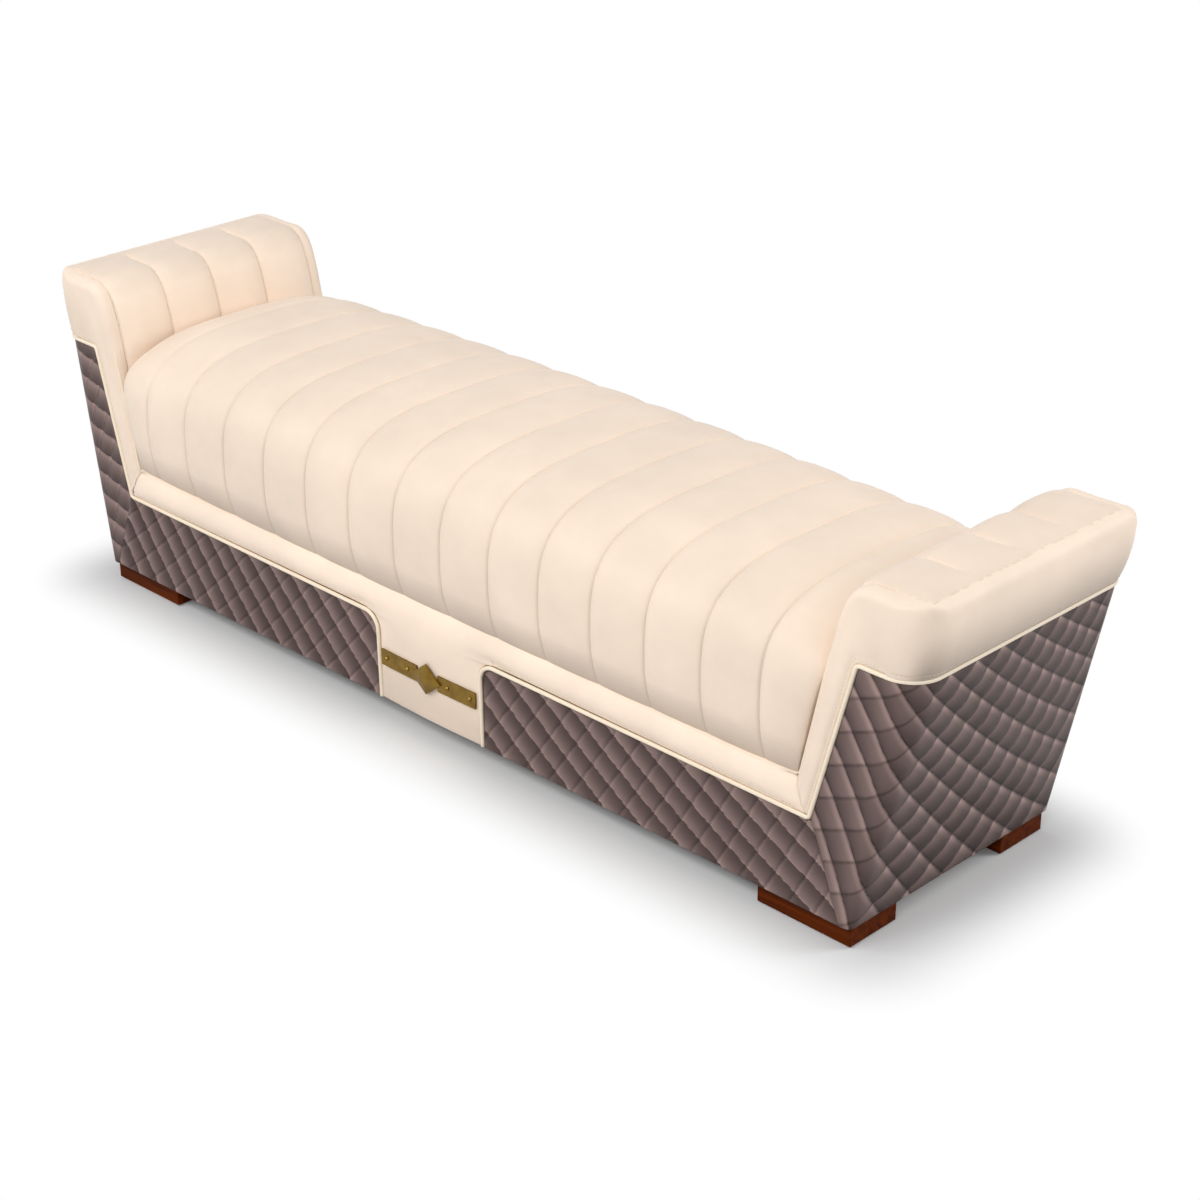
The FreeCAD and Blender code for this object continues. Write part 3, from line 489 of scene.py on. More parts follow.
def build_seat(context):
    """Channelled seat cushion."""
    sizes = context.scene.bench_sizes
    pitch, rise = sizes.seat_channel / MM, sizes.seat_crown / MM
    last = 0.5 * SEAT_CHANNELS * pitch
    ring = seat_section(190)
    normal = out_of(ring)
    gap = along(ring)[1]
    rng = np.random.default_rng(5)
    columns = []

    def settled(x):
        """The seam outline at x, a little lower and slimmer towards the arms."""
        ease = min(abs(x) / last, 1.0) ** 2
        above = np.maximum(ring[:, 1] - SEAT_BELLY, 0.0)
        return np.column_stack([ring[:, 0] * (1.0 - 0.028 * ease), ring[:, 1] - 0.064 * ease * above])

    def column(x, outline):
        """Adds one line of points over the seat at x."""
        columns.append(np.column_stack([np.broadcast_to(x, len(ring)), outline]))

    spread = seam_spread(22)
    seams = [puckers(rng, len(ring), gap, 13.0, 0.7) for _ in range(SEAT_CHANNELS + 2)]
    upper = np.clip(normal[:, 1], 0.0, 1.0) ** 2
    room = np.clip((ring[:, 1] - 230.0) / 60.0, 0.0, 1.0) ** 0.8

    def end_column(u, side):
        """One line of the end channel, which rolls down against the arm."""
        outline = settled(last)
        swell = 0.5 * rise * crown(np.array(0.5 * min(u / 0.4, 1.0)), 2.8, 0.75)
        drop = (20.0 + 36.0 * upper) * (1.0 - math.sqrt(max(0.0, 1.0 - u**1.9)))
        outline = outline + normal * ((swell - drop) * room)[:, None]
        clear = 3.0 + 8.0 * np.clip((216.0 - np.abs(outline[:, 0])) / 40.0, 0.0, 1.0)
        stop = inner(np.clip(outline[:, 1], 240.0, 460.0)) - clear
        return side * (last + u * (stop - last)), outline

    turn = np.sin(np.linspace(0.0, 0.5 * np.pi, 26))
    for u in turn[::-1]:
        column(*end_column(u, -1.0))
    for k in range(SEAT_CHANNELS):
        for s in spread[1:]:
            x = -last + pitch * (k + s)
            swell = rise * crown(np.array(s), 2.8, 0.75) * room
            near = np.exp(-s * pitch / 9.0) * seams[k] + np.exp(-(1 - s) * pitch / 9.0) * seams[k + 1]
            sunk = 1.2 * (math.exp(-s * pitch / 1.2) + math.exp(-(1 - s) * pitch / 1.2))
            outline = settled(x)
            edge = min(s, 1.0 - s)
            pleat = near * min(1.0, edge * pitch / 3.0)
            column(x, outline + normal * (swell + (pleat - sunk) * room)[:, None])
    for u in turn[1:]:
        column(*end_column(u, 1.0))
    grid = np.array(columns)
    caps = Shell()
    caps.grid(grid)
    middle = np.array([0.0, SEAT_BELLY])
    for end in (grid[0], grid[-1]):
        shrunk = [end]
        for k in (0.96, 0.85, 0.5, 0.0):
            inside = end.copy()
            inside[:, 1:] = middle + (end[:, 1:] - middle) * k
            shrunk.append(inside)
        caps.grid(np.array(shrunk))
    floor = np.stack([grid[:, 0], grid[:, -1]], axis=1)
    caps.grid(floor)
    points, faces = caps.joined()
    # Painted shade: darker towards where the seat meets the border and in the seams of its sides; on top the
    # seams are painted a little lighter and the whole top a little darker
    lit = np.clip((points[:, 2] - 229.0) / 66.0, 0.0, 1.0) ** 0.8
    beside = np.abs((points[:, 0] + last + 0.5 * pitch) % pitch - 0.5 * pitch)
    top = np.clip((points[:, 2] - 380.0) / 80.0, 0.0, 1.0)
    seam = np.where(np.abs(points[:, 0]) < last + 4.0, np.clip(1.0 - beside / 3.0, 0.0, 1.0), 0.0)
    painted_light = lit * (1.0 - seam * (0.38 - 0.46 * top)) * (0.77 - 0.06 * top)
    seat = piece("seat_cushion", points, faces, cream_leather(context), painted_light=painted_light)
    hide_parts("seat_cover", "seat_foam_core")


# Arms


def arm_curl(count):
    """Curve of the arm from its inside on to its top."""
    return curve((inner(ARM_BEND), ARM_BEND), (801.6, 512.0), (813.0, 549.5), ARM_CREST, count)


def arm_line(count):
    """Outline of the arm padding at a seam, from the seat up and over to its outer seam."""
    return spaced(
        chain(
            line((inner(250.0), 250.0), (inner(ARM_BEND), ARM_BEND), 30),
            arm_curl(60),
            line(ARM_CREST, ARM_EDGE, 20),
        ),
        count,
    )


def build_arm_pads(context):
    """Channelled padding on the inside and top of each arm."""
    sizes = context.scene.bench_sizes
    pitch, rise = sizes.arm_channel / MM, sizes.arm_crown / MM
    path = arm_line(120)
    normal = out_of(path)
    left = along(path)[-1] - along(path)
    ease = 1.0 - np.clip(1.0 - left / 30.0, 0.0, 1.0) ** 2
    fade = np.clip((46.0 - left) / 36.0, 0.0, 1.0)
    fade = fade * fade * (3.0 - 2.0 * fade)
    upward = np.clip((path[:, 1] - 520.0) / 28.0, 0.0, 1.0)
    gap = along(path)[1]
    for label, side in SIDES.items():
        rng = np.random.default_rng(11)
        seams = [puckers(rng, len(path), gap, 12.0, 0.6) for _ in range(ARM_CHANNELS + 1)]
        columns, sewn = [], []
        for k in range(ARM_CHANNELS):
            for s in seam_spread(24)[0 if k == 0 else 1 :]:
                y = pitch * (k + s - 0.5 * ARM_CHANNELS)
                edge = min(s, 1.0 - s) * pitch
                near = np.exp(-s * pitch / 9.0) * seams[k] + np.exp(-(1 - s) * pitch / 9.0) * seams[k + 1]
                pleat = near * min(1.0, edge / 3.0)
                full = float(crown(np.array(s), 2.8, 0.75))
                end = min(k + s, ARM_CHANNELS - k - s) * pitch / 26.0
                level = 0.62 * (1.0 - max(0.0, 1.0 - end) ** 2) ** 0.5
                swell = rise * (full * (1.0 - fade) + level * fade) * ease
                sunk = 1.2 * math.exp(-edge / 1.2) * (1.0 - fade)
                at = path + normal * (swell + pleat * (1.0 - fade) - sunk)[:, None]
                columns.append(np.column_stack([at[:, 0], np.full(len(at), y), at[:, 1]]))
                # Painted shade, kept in sewn: in the seams up the inside of the arm and along its outer edge,
                # none in the seams on top, and the whole top painted darker than the inside
                seam = np.clip(1.0 - edge / 3.0 - fade, 0.0, 1.0) * (0.22 - 0.26 * upward)
                sewn.append(np.where(left < 2.5, 0.88, 1.0 - seam) * (0.93 - 0.24 * upward))
        grid = np.array(columns)
        skin = Shell()
        skin.grid(grid)
        deep = np.column_stack([normal[:, 0], np.zeros(len(normal)), normal[:, 1]]) * 14.0
        for edge in (grid[0], grid[-1]):
            skin.grid(np.stack([edge, edge - deep]))
        for k in (0, -1):
            skin.grid(np.stack([grid[:, k], grid[:, k] - deep[k]]))
        points, faces = skin.joined(side)
        shade = np.ones(len(points))
        shade[: grid.shape[0] * grid.shape[1]] = np.array(sewn).ravel()
        pad = piece(f"arm_cushion_{label}", points, faces, cream_leather(context), painted_light=shade)
        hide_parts(f"arm_pad_{label}", f"arm_foam_{label}")


def facing_lines(corner):
    """The arm's outer edge, the edge of its flat front, the piping edge and the rounding between.

    corner is the radius of the turn from the front on to the end.
    """
    run, curl, top, turn, fall = 46, 40, 24, 18, 24
    edge_round, beside_piping = 14.0, 3.2
    down = np.linspace(CAP_TOP, CAP_EDGE, fall)
    edge_runs = [
        line((inner(BORDER_TOP), BORDER_TOP), (inner(ARM_BEND), ARM_BEND), run),
        arm_curl(curl),
        line(ARM_CREST, ARM_EDGE, top),
        curve(ARM_EDGE, (945.0, 553.2), (953.0, 546.0), (outer(CAP_TOP), CAP_TOP), turn),
        np.column_stack([cap_side(down), down]),
    ]
    inset = edge_runs[1] - out_of(edge_runs[1]) * edge_round
    flat_runs = [
        line((mitre(214.6), 214.6), inset[0], run),
        inset,
        line(inset[-1], (930.0 - corner, 535.0), top),
        curve(
            (930.0 - corner, 535.0),
            (942.0 - corner, 534.0),
            (951.0 - corner, 524.0),
            (outer(500.0) - corner, 500.0),
            turn,
        ),
        line((outer(500.0) - corner, 500.0), (outer(CAP_EDGE) - corner, CAP_EDGE), fall),
    ]
    stop = outer(CAP_EDGE) - corner
    hem_runs = [
        line((trim(186.0) - beside_piping, 186.0), (trim(428.0) - beside_piping, 428.0), run),
        curve(
            (trim(428.0) - beside_piping, 428.0),
            (trim(441.0) - beside_piping, 441.0),
            (835.0, CAP_EDGE),
            (848.0, CAP_EDGE),
            curl,
        ),
        line((848.0, CAP_EDGE), (868.0, CAP_EDGE), top),
        line((868.0, CAP_EDGE), (876.0, CAP_EDGE), turn),
        line((876.0, CAP_EDGE), (stop, CAP_EDGE), fall),
    ]
    bend_runs = [
        np.full(run, edge_round),
        np.full(curl, edge_round),
        np.linspace(edge_round, 25.6, top),
        np.linspace(25.6, corner, turn),
        np.full(fall, corner),
    ]
    bend = np.concatenate([bend_runs[0]] + [r[1:] for r in bend_runs[1:]])
    shared_edge = run + curl + top - 3
    full = np.clip((shared_edge - np.arange(len(bend))) / (top + 0.5 * curl), 0.0, 1.0)
    return chain(*edge_runs), chain(*flat_runs), chain(*hem_runs), bend, full, shared_edge


def at_depth(flat, y):
    """Puts points of the front view at a depth."""
    return np.column_stack([flat[:, 0], np.broadcast_to(y, len(flat)), flat[:, 1]])


def facing_rows(corner=FRONT_TURN):
    """Rows of points of the front of an arm from the piping to the rounded edge, and the stitch row."""
    edge, flat, hem, bend, full, split = facing_lines(corner)
    rows = [at_depth(hem, -HEM), at_depth(hem, -229.2)]
    reach = np.maximum(np.linalg.norm(flat - hem, axis=1), 1e-6)
    first = np.minimum(7.5 / reach, 0.45)
    firm = np.clip((reach - 8.0) / 12.0, 0.0, 1.0)
    sewn = at_depth(hem + (flat - hem) * first[:, None], -FACE + 0.4 * firm)
    for share, sunk in ((0.2, 1.3), (0.5, 0.4), (0.75, 0.0)):
        rows.append(at_depth(hem + (flat - hem) * (share * first)[:, None], -FACE + sunk))
    rows.append(sewn)
    for t in np.linspace(0.0, 1.0, 13)[1:]:
        share = (first + (1.0 - first) * t)[:, None]
        swell = full * np.minimum(3.2, reach * 0.06) * 6.75 * t * (1.0 - t) ** 2
        rows.append(at_depth(hem + (flat - hem) * share, -FACE - swell))
    for turn in np.linspace(0.5 * np.pi, 0.0, 12)[1:]:
        at = edge + (flat - edge) * (1.0 - math.cos(turn))
        rows.append(at_depth(at, -(FACE - bend + bend * math.sin(turn))))
    return np.array(rows), sewn, edge, bend, split


def build_arm_facings(context):
    """Smooth leather round the front, cap and back of each arm."""
    for label, side in SIDES.items():
        skin = Shell()
        for corner, face in ((FRONT_TURN, 1.0), (REAR_TURN, -1.0)):
            rows, _, edge, bend, split = facing_rows(corner)
            skin.grid(rows * [1.0, face, 1.0])
            upper = edge[: split + 1]
            normal = out_of(edge)[: split + 1]
            start = FACE - bend[: split + 1]
            close = np.clip((split - np.arange(split + 1)) / 8.0, 0.0, 1.0)[:, None]
            strip = []
            for t in np.linspace(0.0, 1.0, 6):
                dip = 2.5 * t**4 * close
                strip.append(at_depth(upper - normal * dip, -(start + (PAD_HALF - start) * t)))
            strip.append(at_depth(upper - normal * 10.0, 0.5 - PAD_HALF))
            skin.grid(np.array(strip) * [1.0, face, 1.0])
            cap = edge[split:]
            begin = FACE - bend[split:]
            across = np.linspace(1.0, 0.0, 16)
            skin.grid(np.array([at_depth(cap, -begin * t) for t in across]) * [1.0, face, 1.0])
            tuck = np.vstack([at_depth(cap[-1:], -begin[-1] * t) for t in across]) * [1.0, face, 1.0]
            skin.grid(np.stack([tuck, tuck - [9.0, 0.0, 0.0]]))
        points, faces = skin.joined()
        out = points[:, 0] - outer(points[:, 2])
        rear = np.clip((points[:, 1] - 206.0) / 26.0, 0.0, 1.0) * np.clip((out + 80.0) / 60.0, 0.0, 1.0)
        points[:, :2] += (rear * np.clip((points[:, 2] - 446.0) / 80.0, 0.0, 1.0))[:, None] * [3.0, 9.0]
        # Painted shade: the side of the cap darkens towards its lower edge, most of all by the front corner,
        # the front of the cap darkens towards its lower edge too, and the front is painted a little darker
        # than the side's top
        flank = np.clip((out + 24.0) / 18.0, 0.0, 1.0)
        under = np.clip(1.0 - (points[:, 2] - CAP_EDGE) / 84.0, 0.0, 1.0) ** 1.2
        forward = np.clip((-points[:, 1] - 60.0) / 140.0, 0.0, 1.0)
        on_cap = np.clip((points[:, 0] - 836.0) / 30.0, 0.0, 1.0)
        painted_light = 0.83 + flank * (0.17 - (0.97 + 0.2 * forward) * under)
        painted_light -= 0.2 * (1.0 - flank) * on_cap * under
        points = points * [side, 1.0, 1.0]
        name = f"arm_cover_{label}"
        cover = piece(name, points, faces, cream_leather(context), painted_light=painted_light)
        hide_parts(f"arm_facing_{label}")


# Borders


def up_border(z):
    """How far a height is up the border, from 0 to 1."""
    return min(max((z - BORDER_LOW) / BORDER_TALL, 0.0), 1.0)


def border_face(z, blend=0.0):
    """Depth of the border's rounded front at a height; blend runs its lower edge out into the drop panel."""
    t = up_border(z)
    swell = np.sin(np.pi * t)
    ease = blend * (t < 0.5)
    return -(QUILT + 9.0 * swell ** (0.8 + 1.4 * ease) + 4.0 * t)


def drop_face(across, z):
    """Depth of the front at the drop panel, which swells smoothly into the border above it."""
    belly = 4.0 - 3.0 * across**2
    edge = belly * (1.0 - up_border(z)) ** 2 - QUILT - border_face(z, 1.0)
    lift = min(max((z - 130.0) / 81.0, 0.0), 1.0)
    full = belly + (11.0 - 0.75 * belly) * lift * lift * (3.0 - 2.0 * lift)
    held = across**4 if z < 211.0 else 1.0
    return -(QUILT + edge * held + full * (1.0 - held))


def drop_width(z):
    """Half the width of the front drop panel at height z, flaring into the border."""
    up = np.clip(z - DROP_LOW, 0.0, DROP_TURN)
    return DROP_FLARE - np.sqrt(np.maximum(DROP_TURN**2 - up**2, 0.0))


def mitre(z):
    """Where the border stops against the arm at height z."""
    return ARM_FOOT + 0.2 + (BORDER_TOP - z) * 23.0 / BORDER_TALL


def border_lip(row):
    """The border's upper edge rolling back under the seat."""
    lip = []
    for y, z in ((-229.5, 238.6), (-219.0, 240.0)):
        back = row.copy()
        back[:, 1] = y
        back[:, 2] = z
        lip.append(back)
    return lip


def build_borders(context):
    """Leather borders under the seat, the front one with its drop panel."""
    heights = [BORDER_LOW, 189.0, STITCH_ROW, 198.0, 204.0, 211.0, 218.0, 224.0, 229.0, 233.0, BORDER_TOP]
    panel = [np.linspace(184.0, DROP_LOW, 14), np.linspace(145.0, 40.0, 16), [37.5, 36.2]]
    band = facing_rows()[0][1:, 0]
    band = band[np.argsort(band[:, 2])]
    for name, front in (("front_border", True), ("back_border", False)):
        skin = Shell()
        for sign in (1.0, -1.0):
            u = np.linspace(0.0, 1.0, 90)
            rows = []
            for z in heights:
                x = DROP_FLARE + (mitre(z) - DROP_FLARE) * u
                join = np.clip((u - 0.9) / 0.1, 0.0, 1.0) ** 2
                fade = np.clip(1.0 - u * 12.0, 0.0, 1.0)
                fade = fade * fade * (3.0 - 2.0 * fade)
                y = border_face(z, fade) * (1.0 - join) + np.interp(z, band[:, 2], band[:, 1]) * join
                y = y + np.where(u > 0.997, 0.6, 0.0)
                if z == STITCH_ROW:
                    y = y + 0.7
                full = (1.0 - up_border(z)) ** 2 if front else 0.0
                rows.append(np.column_stack([sign * x, y - fade * full, np.full(len(u), z)]))
            hem = rows[0].copy()
            hem[:, 1] = -HEM
            lip = border_lip(rows[-1])
            skin.grid(np.array([hem] + rows + lip))
            ends = np.array([r[-1] for r in rows])
            skin.grid(np.stack([ends, ends + [0.0, 9.0, 0.0]]))
        c = np.linspace(-1.0, 1.0, 61)
        rows = []
        for z in heights[::-1]:
            face = drop_face(c, z) if front else border_face(z, np.ones(len(c)))
            rows.append(np.column_stack([c * DROP_FLARE, face, np.full(len(c), z)]))
        rows = border_lip(rows[0])[::-1] + rows
        if front:
            for z in np.concatenate(panel):
                wide = drop_width(z)
                tuck = 2.5 if z < 37.0 else 0.8 if z < 39.0 else 0.0
                face = drop_face(c, z) + tuck
                rows.append(np.column_stack([c * wide, face, np.full(len(c), z)]))
            hem = rows[-1].copy()
            hem[:, 1] = -216.0
            rows.append(hem)
            for k in (0, -1):
                edge = np.array([r[k] for r in rows[13:]])
                inside = edge.copy()
                inside[:, 1] = -216.0
                skin.grid(np.stack([edge, inside]))
        else:
            hem = rows[-1].copy()
            hem[:, 1] = -HEM
            rows.append(hem)
        skin.grid(np.array(rows))
        points, faces = skin.joined()
        if not front:
            points[:, 1] *= -1.0
        # Painted shade: the drop panel darkens towards the floor
        painted_light = 0.55 + 0.45 * np.clip((points[:, 2] - 60.0) / 120.0, 0.0, 1.0)
        border = piece(f"{name}_leather", points, faces, cream_leather(context), painted_light=painted_light)
        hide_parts(*(("front_border", "drop_panel") if front else ("back_border",)))


# Quilting


def flat_squares(at, shift):
    """Squares counted to a place on the front or back, opening out a little to one side."""
    x, z = at[..., 0] / 100.0, at[..., 1] / 100.0
    rows = (1.5 - 0.024 * x) * x + (1.91 + 0.064 * x) * z
    cross = (1.87 + 0.021 * x) * x - (1.6 - 0.062 * x) * z
    return np.stack([rows, cross], axis=-1) + shift


def end_squares(at, pull):
    """Squares counted to a place on an end, given by its run round the corner and its height.

    The leather is drawn tight round the front corner, by pull, and fans out towards the rear.
    """
    run, z = at[..., 0] / 100.0, at[..., 1] / 100.0
    wrap, far = np.minimum(run, 0.0), np.maximum(run, 0.0)
    rows = pull[0] * wrap + (1.57 - 0.065 * far + 0.082 * z) * far + (1.12 + 0.115 * z) * z - 1.44
    cross = pull[1] * wrap + (0.5 + 0.168 * far + 0.216 * z) * far - 1.83 * z + 3.86
    return np.stack([rows, cross * pull[2]], axis=-1)


def place_of(count, squares, low, high):
    """Places where the squares reach a count, found by stepping closer, and which were found."""
    at = np.broadcast_to(0.5 * (low + high), count.shape).copy()
    for _ in range(40):
        miss = count - squares(at)
        across = 0.5 * (squares(at + [1.0, 0.0]) - squares(at - [1.0, 0.0]))
        up = 0.5 * (squares(at + [0.0, 1.0]) - squares(at - [0.0, 1.0]))
        area = across[..., 0] * up[..., 1] - across[..., 1] * up[..., 0]
        step = np.stack(
            [
                miss[..., 0] * up[..., 1] - miss[..., 1] * up[..., 0],
                miss[..., 1] * across[..., 0] - miss[..., 0] * across[..., 1],
            ],
            axis=-1,
        )
        at = np.clip(at + np.clip(step / area[..., None], -90.0, 90.0), low, high)
    return at, np.abs(count - squares(at)).max(axis=-1) < 0.01


def pillow(count):
    """Rise of the padding in each square: deep along the rows, shallow at the cross seams."""
    f = count - np.floor(count)
    return crown(f[..., 0], 2.0, 0.95) * (0.7 + 0.3 * crown(f[..., 1], 3.2, 0.6))


def flat_painted_light(count):
    """Light and shade painted on the front or back: lightest along the near edges of each square."""
    f = count - np.floor(count)
    row = 0.36 + 1.15 * (1.0 - f[:, 0]) ** 1.5 + 0.3 * np.exp(-((f[:, 0] / 0.06) ** 2))
    # Painted highlight just past each cross seam and painted shade just before the next
    light = 0.18 * np.exp(-(((f[:, 1] - 0.06) / 0.06) ** 2))
    dark = 0.25 * np.exp(-(((f[:, 1] - 0.95) / 0.06) ** 2))
    return row * (1.03 - 0.1 * f[:, 1] + light - dark)


def end_painted_light(count, at, turned):
    """Light and shade painted on an end: lightest along the far edge of each row.

    Where it is turned, the front corner is painted lightest along the cross seams instead.
    """
    f = count - np.floor(count)
    far = np.clip((at[:, 0] + 10.0) / 70.0, 0.0, 1.0)
    edge = 0.6 * np.exp(-(((f[:, 0] - 0.9) / 0.09) ** 2))
    falling = 0.2 + 1.5 * np.exp(-2.0 * f[:, 1])
    if turned:
        near = 1.3 * falling * (0.85 + 0.5 * np.exp(-12.0 * f[:, 0]) - 0.25 * np.exp(-12.0 * (1.0 - f[:, 0])))
    else:
        near = (0.4 + 0.95 * f[:, 0] + edge) * (0.85 + 0.3 * f[:, 1])
    # Painted shade along the row seams and the cross seams
    seam = np.clip(0.5 + 8.0 * np.minimum(f[:, 0], 1.0 - f[:, 0]), turned * (1.0 - far), 1.0)
    held = np.clip(0.55 + 6.0 * np.minimum(f[:, 1], 1.0 - f[:, 1]), 0.0, 1.0)
    return 0.84 * (far * (0.55 + 0.6 * f[:, 0] + edge) * falling + (1.0 - far) * near) * seam * held


def inside_of(at, clip):
    """How far places on a panel lie inside one of its edges."""
    x, z, nx, nz = clip
    return (at[..., 0] - x) * nx + (at[..., 1] - z) * nz


def quilted(name, squares, stand, clips, depth, rub):
    """Skin of a quilted panel cut to its outline.

    squares counts the squares to a place on the panel, stand gives each place and its outward
    direction on the bench, clips are the panel's edges and the last argument gives the light and shade
    painted on its leather.
    """
    corners = np.array([c[:2] for c in clips], float)
    counts = squares(corners)
    low, high = np.floor(counts.min(axis=0)) - 3, np.ceil(counts.max(axis=0)) + 3
    steps = np.array([0.0, 0.035, 0.09, 0.17, 0.28, 0.42, 0.58, 0.72, 0.83, 0.91, 0.965])
    lines = [np.concatenate([k + steps for k in np.arange(a, b)]) for a, b in zip(low, high)]
    count = np.stack(np.meshgrid(*lines, indexing="ij"), axis=-1)
    flat, inside = place_of(count, squares, corners.min(axis=0) - 30.0, corners.max(axis=0) + 30.0)
    for clip in clips:
        inside &= inside_of(flat, clip) > -14.0
    index = np.arange(inside.size).reshape(inside.shape)
    whole = inside[:-1, :-1] & inside[:-1, 1:] & inside[1:, 1:] & inside[1:, :-1]
    quads = np.stack([index[:-1, :-1], index[:-1, 1:], index[1:, 1:], index[1:, :-1]], axis=-1)[whole]
    used = np.unique(quads)
    new = np.zeros(index.size, int)
    new[used] = np.arange(len(used))
    at = flat.reshape(-1, 2)[used]
    mesh = bpy.data.meshes.new(name)
    mesh.from_pydata(np.column_stack([at, np.zeros(len(at))]).tolist(), [], new[quads].tolist())
    skin = bmesh.new()
    skin.from_mesh(mesh)
    for x, z, nx, nz in clips:
        bmesh.ops.bisect_plane(
            skin,
            geom=skin.verts[:] + skin.edges[:] + skin.faces[:],
            plane_co=(x, z, 0.0),
            plane_no=(-nx, -nz, 0.0),
            clear_outer=True,
        )
    bmesh.ops.remove_doubles(skin, verts=skin.verts, dist=0.05)
    skin.verts.ensure_lookup_table()
    flat = np.array([v.co[:2] for v in skin.verts])
    count = squares(flat)
    rise = pillow(count)
    # Painted light and shade over each square, scaled to the brightest
    painted_light = rub(count, flat) / LIGHTEST
    room = np.full(len(flat), 1e9)
    for clip in clips:
        room = np.minimum(room, inside_of(flat, clip))
    full = np.clip(room / 12.0, 0.0, 1.0) ** 0.5
    rise = rise * full + 0.55 * (1.0 - full)
    base, way = stand(flat)
    at = (base + way * ((rise - 0.6) * depth)[:, None]) * MM
    shade = skin.verts.layers.float.new(PAINTED_LIGHT_ATTRIBUTE)
    for v, co, light in zip(skin.verts, at, painted_light):
        v.co = co
        v[shade] = light
    rim = [e for e in skin.edges if e.is_boundary]
    grown = bmesh.ops.extrude_edge_only(skin, edges=rim)
    fresh = [g for g in grown["geom"] if isinstance(g, bmesh.types.BMVert)]
    centre = Vector(at.mean(axis=0))
    for v in fresh:
        into = (centre - v.co).normalized()
        back = -math.copysign(0.007, v.co.y) if abs(v.co.y) > 0.17 else 0.0
        v.co += Vector((into.x * 0.004, back, into.z * 0.001))
    bmesh.ops.recalc_face_normals(skin, faces=skin.faces)
    for face in skin.faces:
        face.smooth = True
    skin.to_mesh(mesh)
    skin.free()
    return mesh


def edges_of(corners):
    """Cut lines round a convex outline given anticlockwise, each with its inward direction."""
    clips = []
    for k, (x, z) in enumerate(corners):
        dx, dz = corners[(k + 1) % len(corners)][0] - x, corners[(k + 1) % len(corners)][1] - z
        size = math.hypot(dx, dz)
        clips.append((x, z, -dz / size, dx / size))
    return clips


def flat_stand(at, side):
    """Place and outward direction on the front of the bench, with side -1, or on its back, with side 1."""
    return at_depth(at, side * QUILT), np.tile([0.0, side, 0.0], (len(at), 1))


def build_flat_quilts(context):
    """Quilted panels of the front and back of the base."""
    sizes = context.scene.bench_sizes
    depth, fit = sizes.quilt_depth / MM, QUILT_SQUARE * MM / sizes.quilt_square
    turn = np.radians(np.linspace(0.0, 90.0, 7))
    bend = [(DROP_FLARE - 25.0 * math.sin(a), DROP_LOW + 25.0 * math.cos(a)) for a in turn]
    right = [(121.3, BASE), (825.3, BASE), (771.6, 178.2)] + bend
    left = [(-x, z) for x, z in right[::-1]]
    whole = [(-825.3, BASE), (825.3, BASE), (771.6, 178.2), (-771.6, 178.2)]
    for name, node, outline, side, shift in (
        ("front_quilting_right", "front_quilt_right", right, -1.0, (0.9, 0.47)),
        ("front_quilting_left", "front_quilt_left", left, -1.0, (0.37, 0.27)),
        ("back_quilting", "back_quilt", whole, 1.0, (0.5, 0.5)),
    ):
        mesh = quilted(
            name,
            lambda at: fit * flat_squares(at, shift),
            lambda at: flat_stand(at, side),
            edges_of(outline),
            0.6 * depth,
            lambda count, at: flat_painted_light(count),
        )
        panel = fixed(name, mesh, brown_leather(context))
        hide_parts(node)


def end_stand(at, calm_front):
    """Place and outward direction on the end of the bench, round both its corners.

    The stuffing thins out round the rear corner, and by calm_front round the front one.
    """
    run, z = at[:, 0], at[:, 1]
    edge = outer(z)
    bend = 12.0 + (FRONT_TURN - 12.0) * (z - BASE) / 404.0
    tight = 12.0 + (REAR_TURN - 12.0) * (z - BASE) / 404.0
    one = np.clip((run + bend) / (2.0 * bend), 0.0, 1.0) * 0.5 * np.pi
    two = np.clip((run - END_RUN + tight) / (2.0 * tight), 0.0, 1.0) * 0.5 * np.pi
    x = np.where(run < -bend, edge + run, edge - bend + bend * np.sin(one))
    y = np.where(run < -bend, -QUILT, -QUILT + bend - bend * np.cos(one))
    flat = (run > bend) & (run <= END_RUN - tight)
    x = np.where(flat, edge, x)
    y = np.where(flat, -QUILT + run, y)
    back = run > END_RUN - tight
    x = np.where(back, edge - tight + tight * np.cos(two), x)
    y = np.where(back, QUILT - tight + tight * np.sin(two), y)
    beyond = run > END_RUN + tight
    x = np.where(beyond, edge - (run - END_RUN), x)
    y = np.where(beyond, QUILT, y)
    nx = np.where(back, np.cos(two), np.sin(one))
    ny = np.where(back, np.sin(two), -np.cos(one))
    way = np.stack([nx, ny, -LEAN * nx], axis=-1)
    thin = 0.97 * np.clip((run - END_RUN + tight + 40.0) / 40.0, 0.0, 1.0)
    thin += calm_front * np.clip(1.3 - 1.3 * np.abs(run) / (bend + 25.0), 0.0, 1.0)
    way *= ((1.0 - thin) / np.linalg.norm(way, axis=1))[:, None]
    return np.column_stack([x, y, z]), way


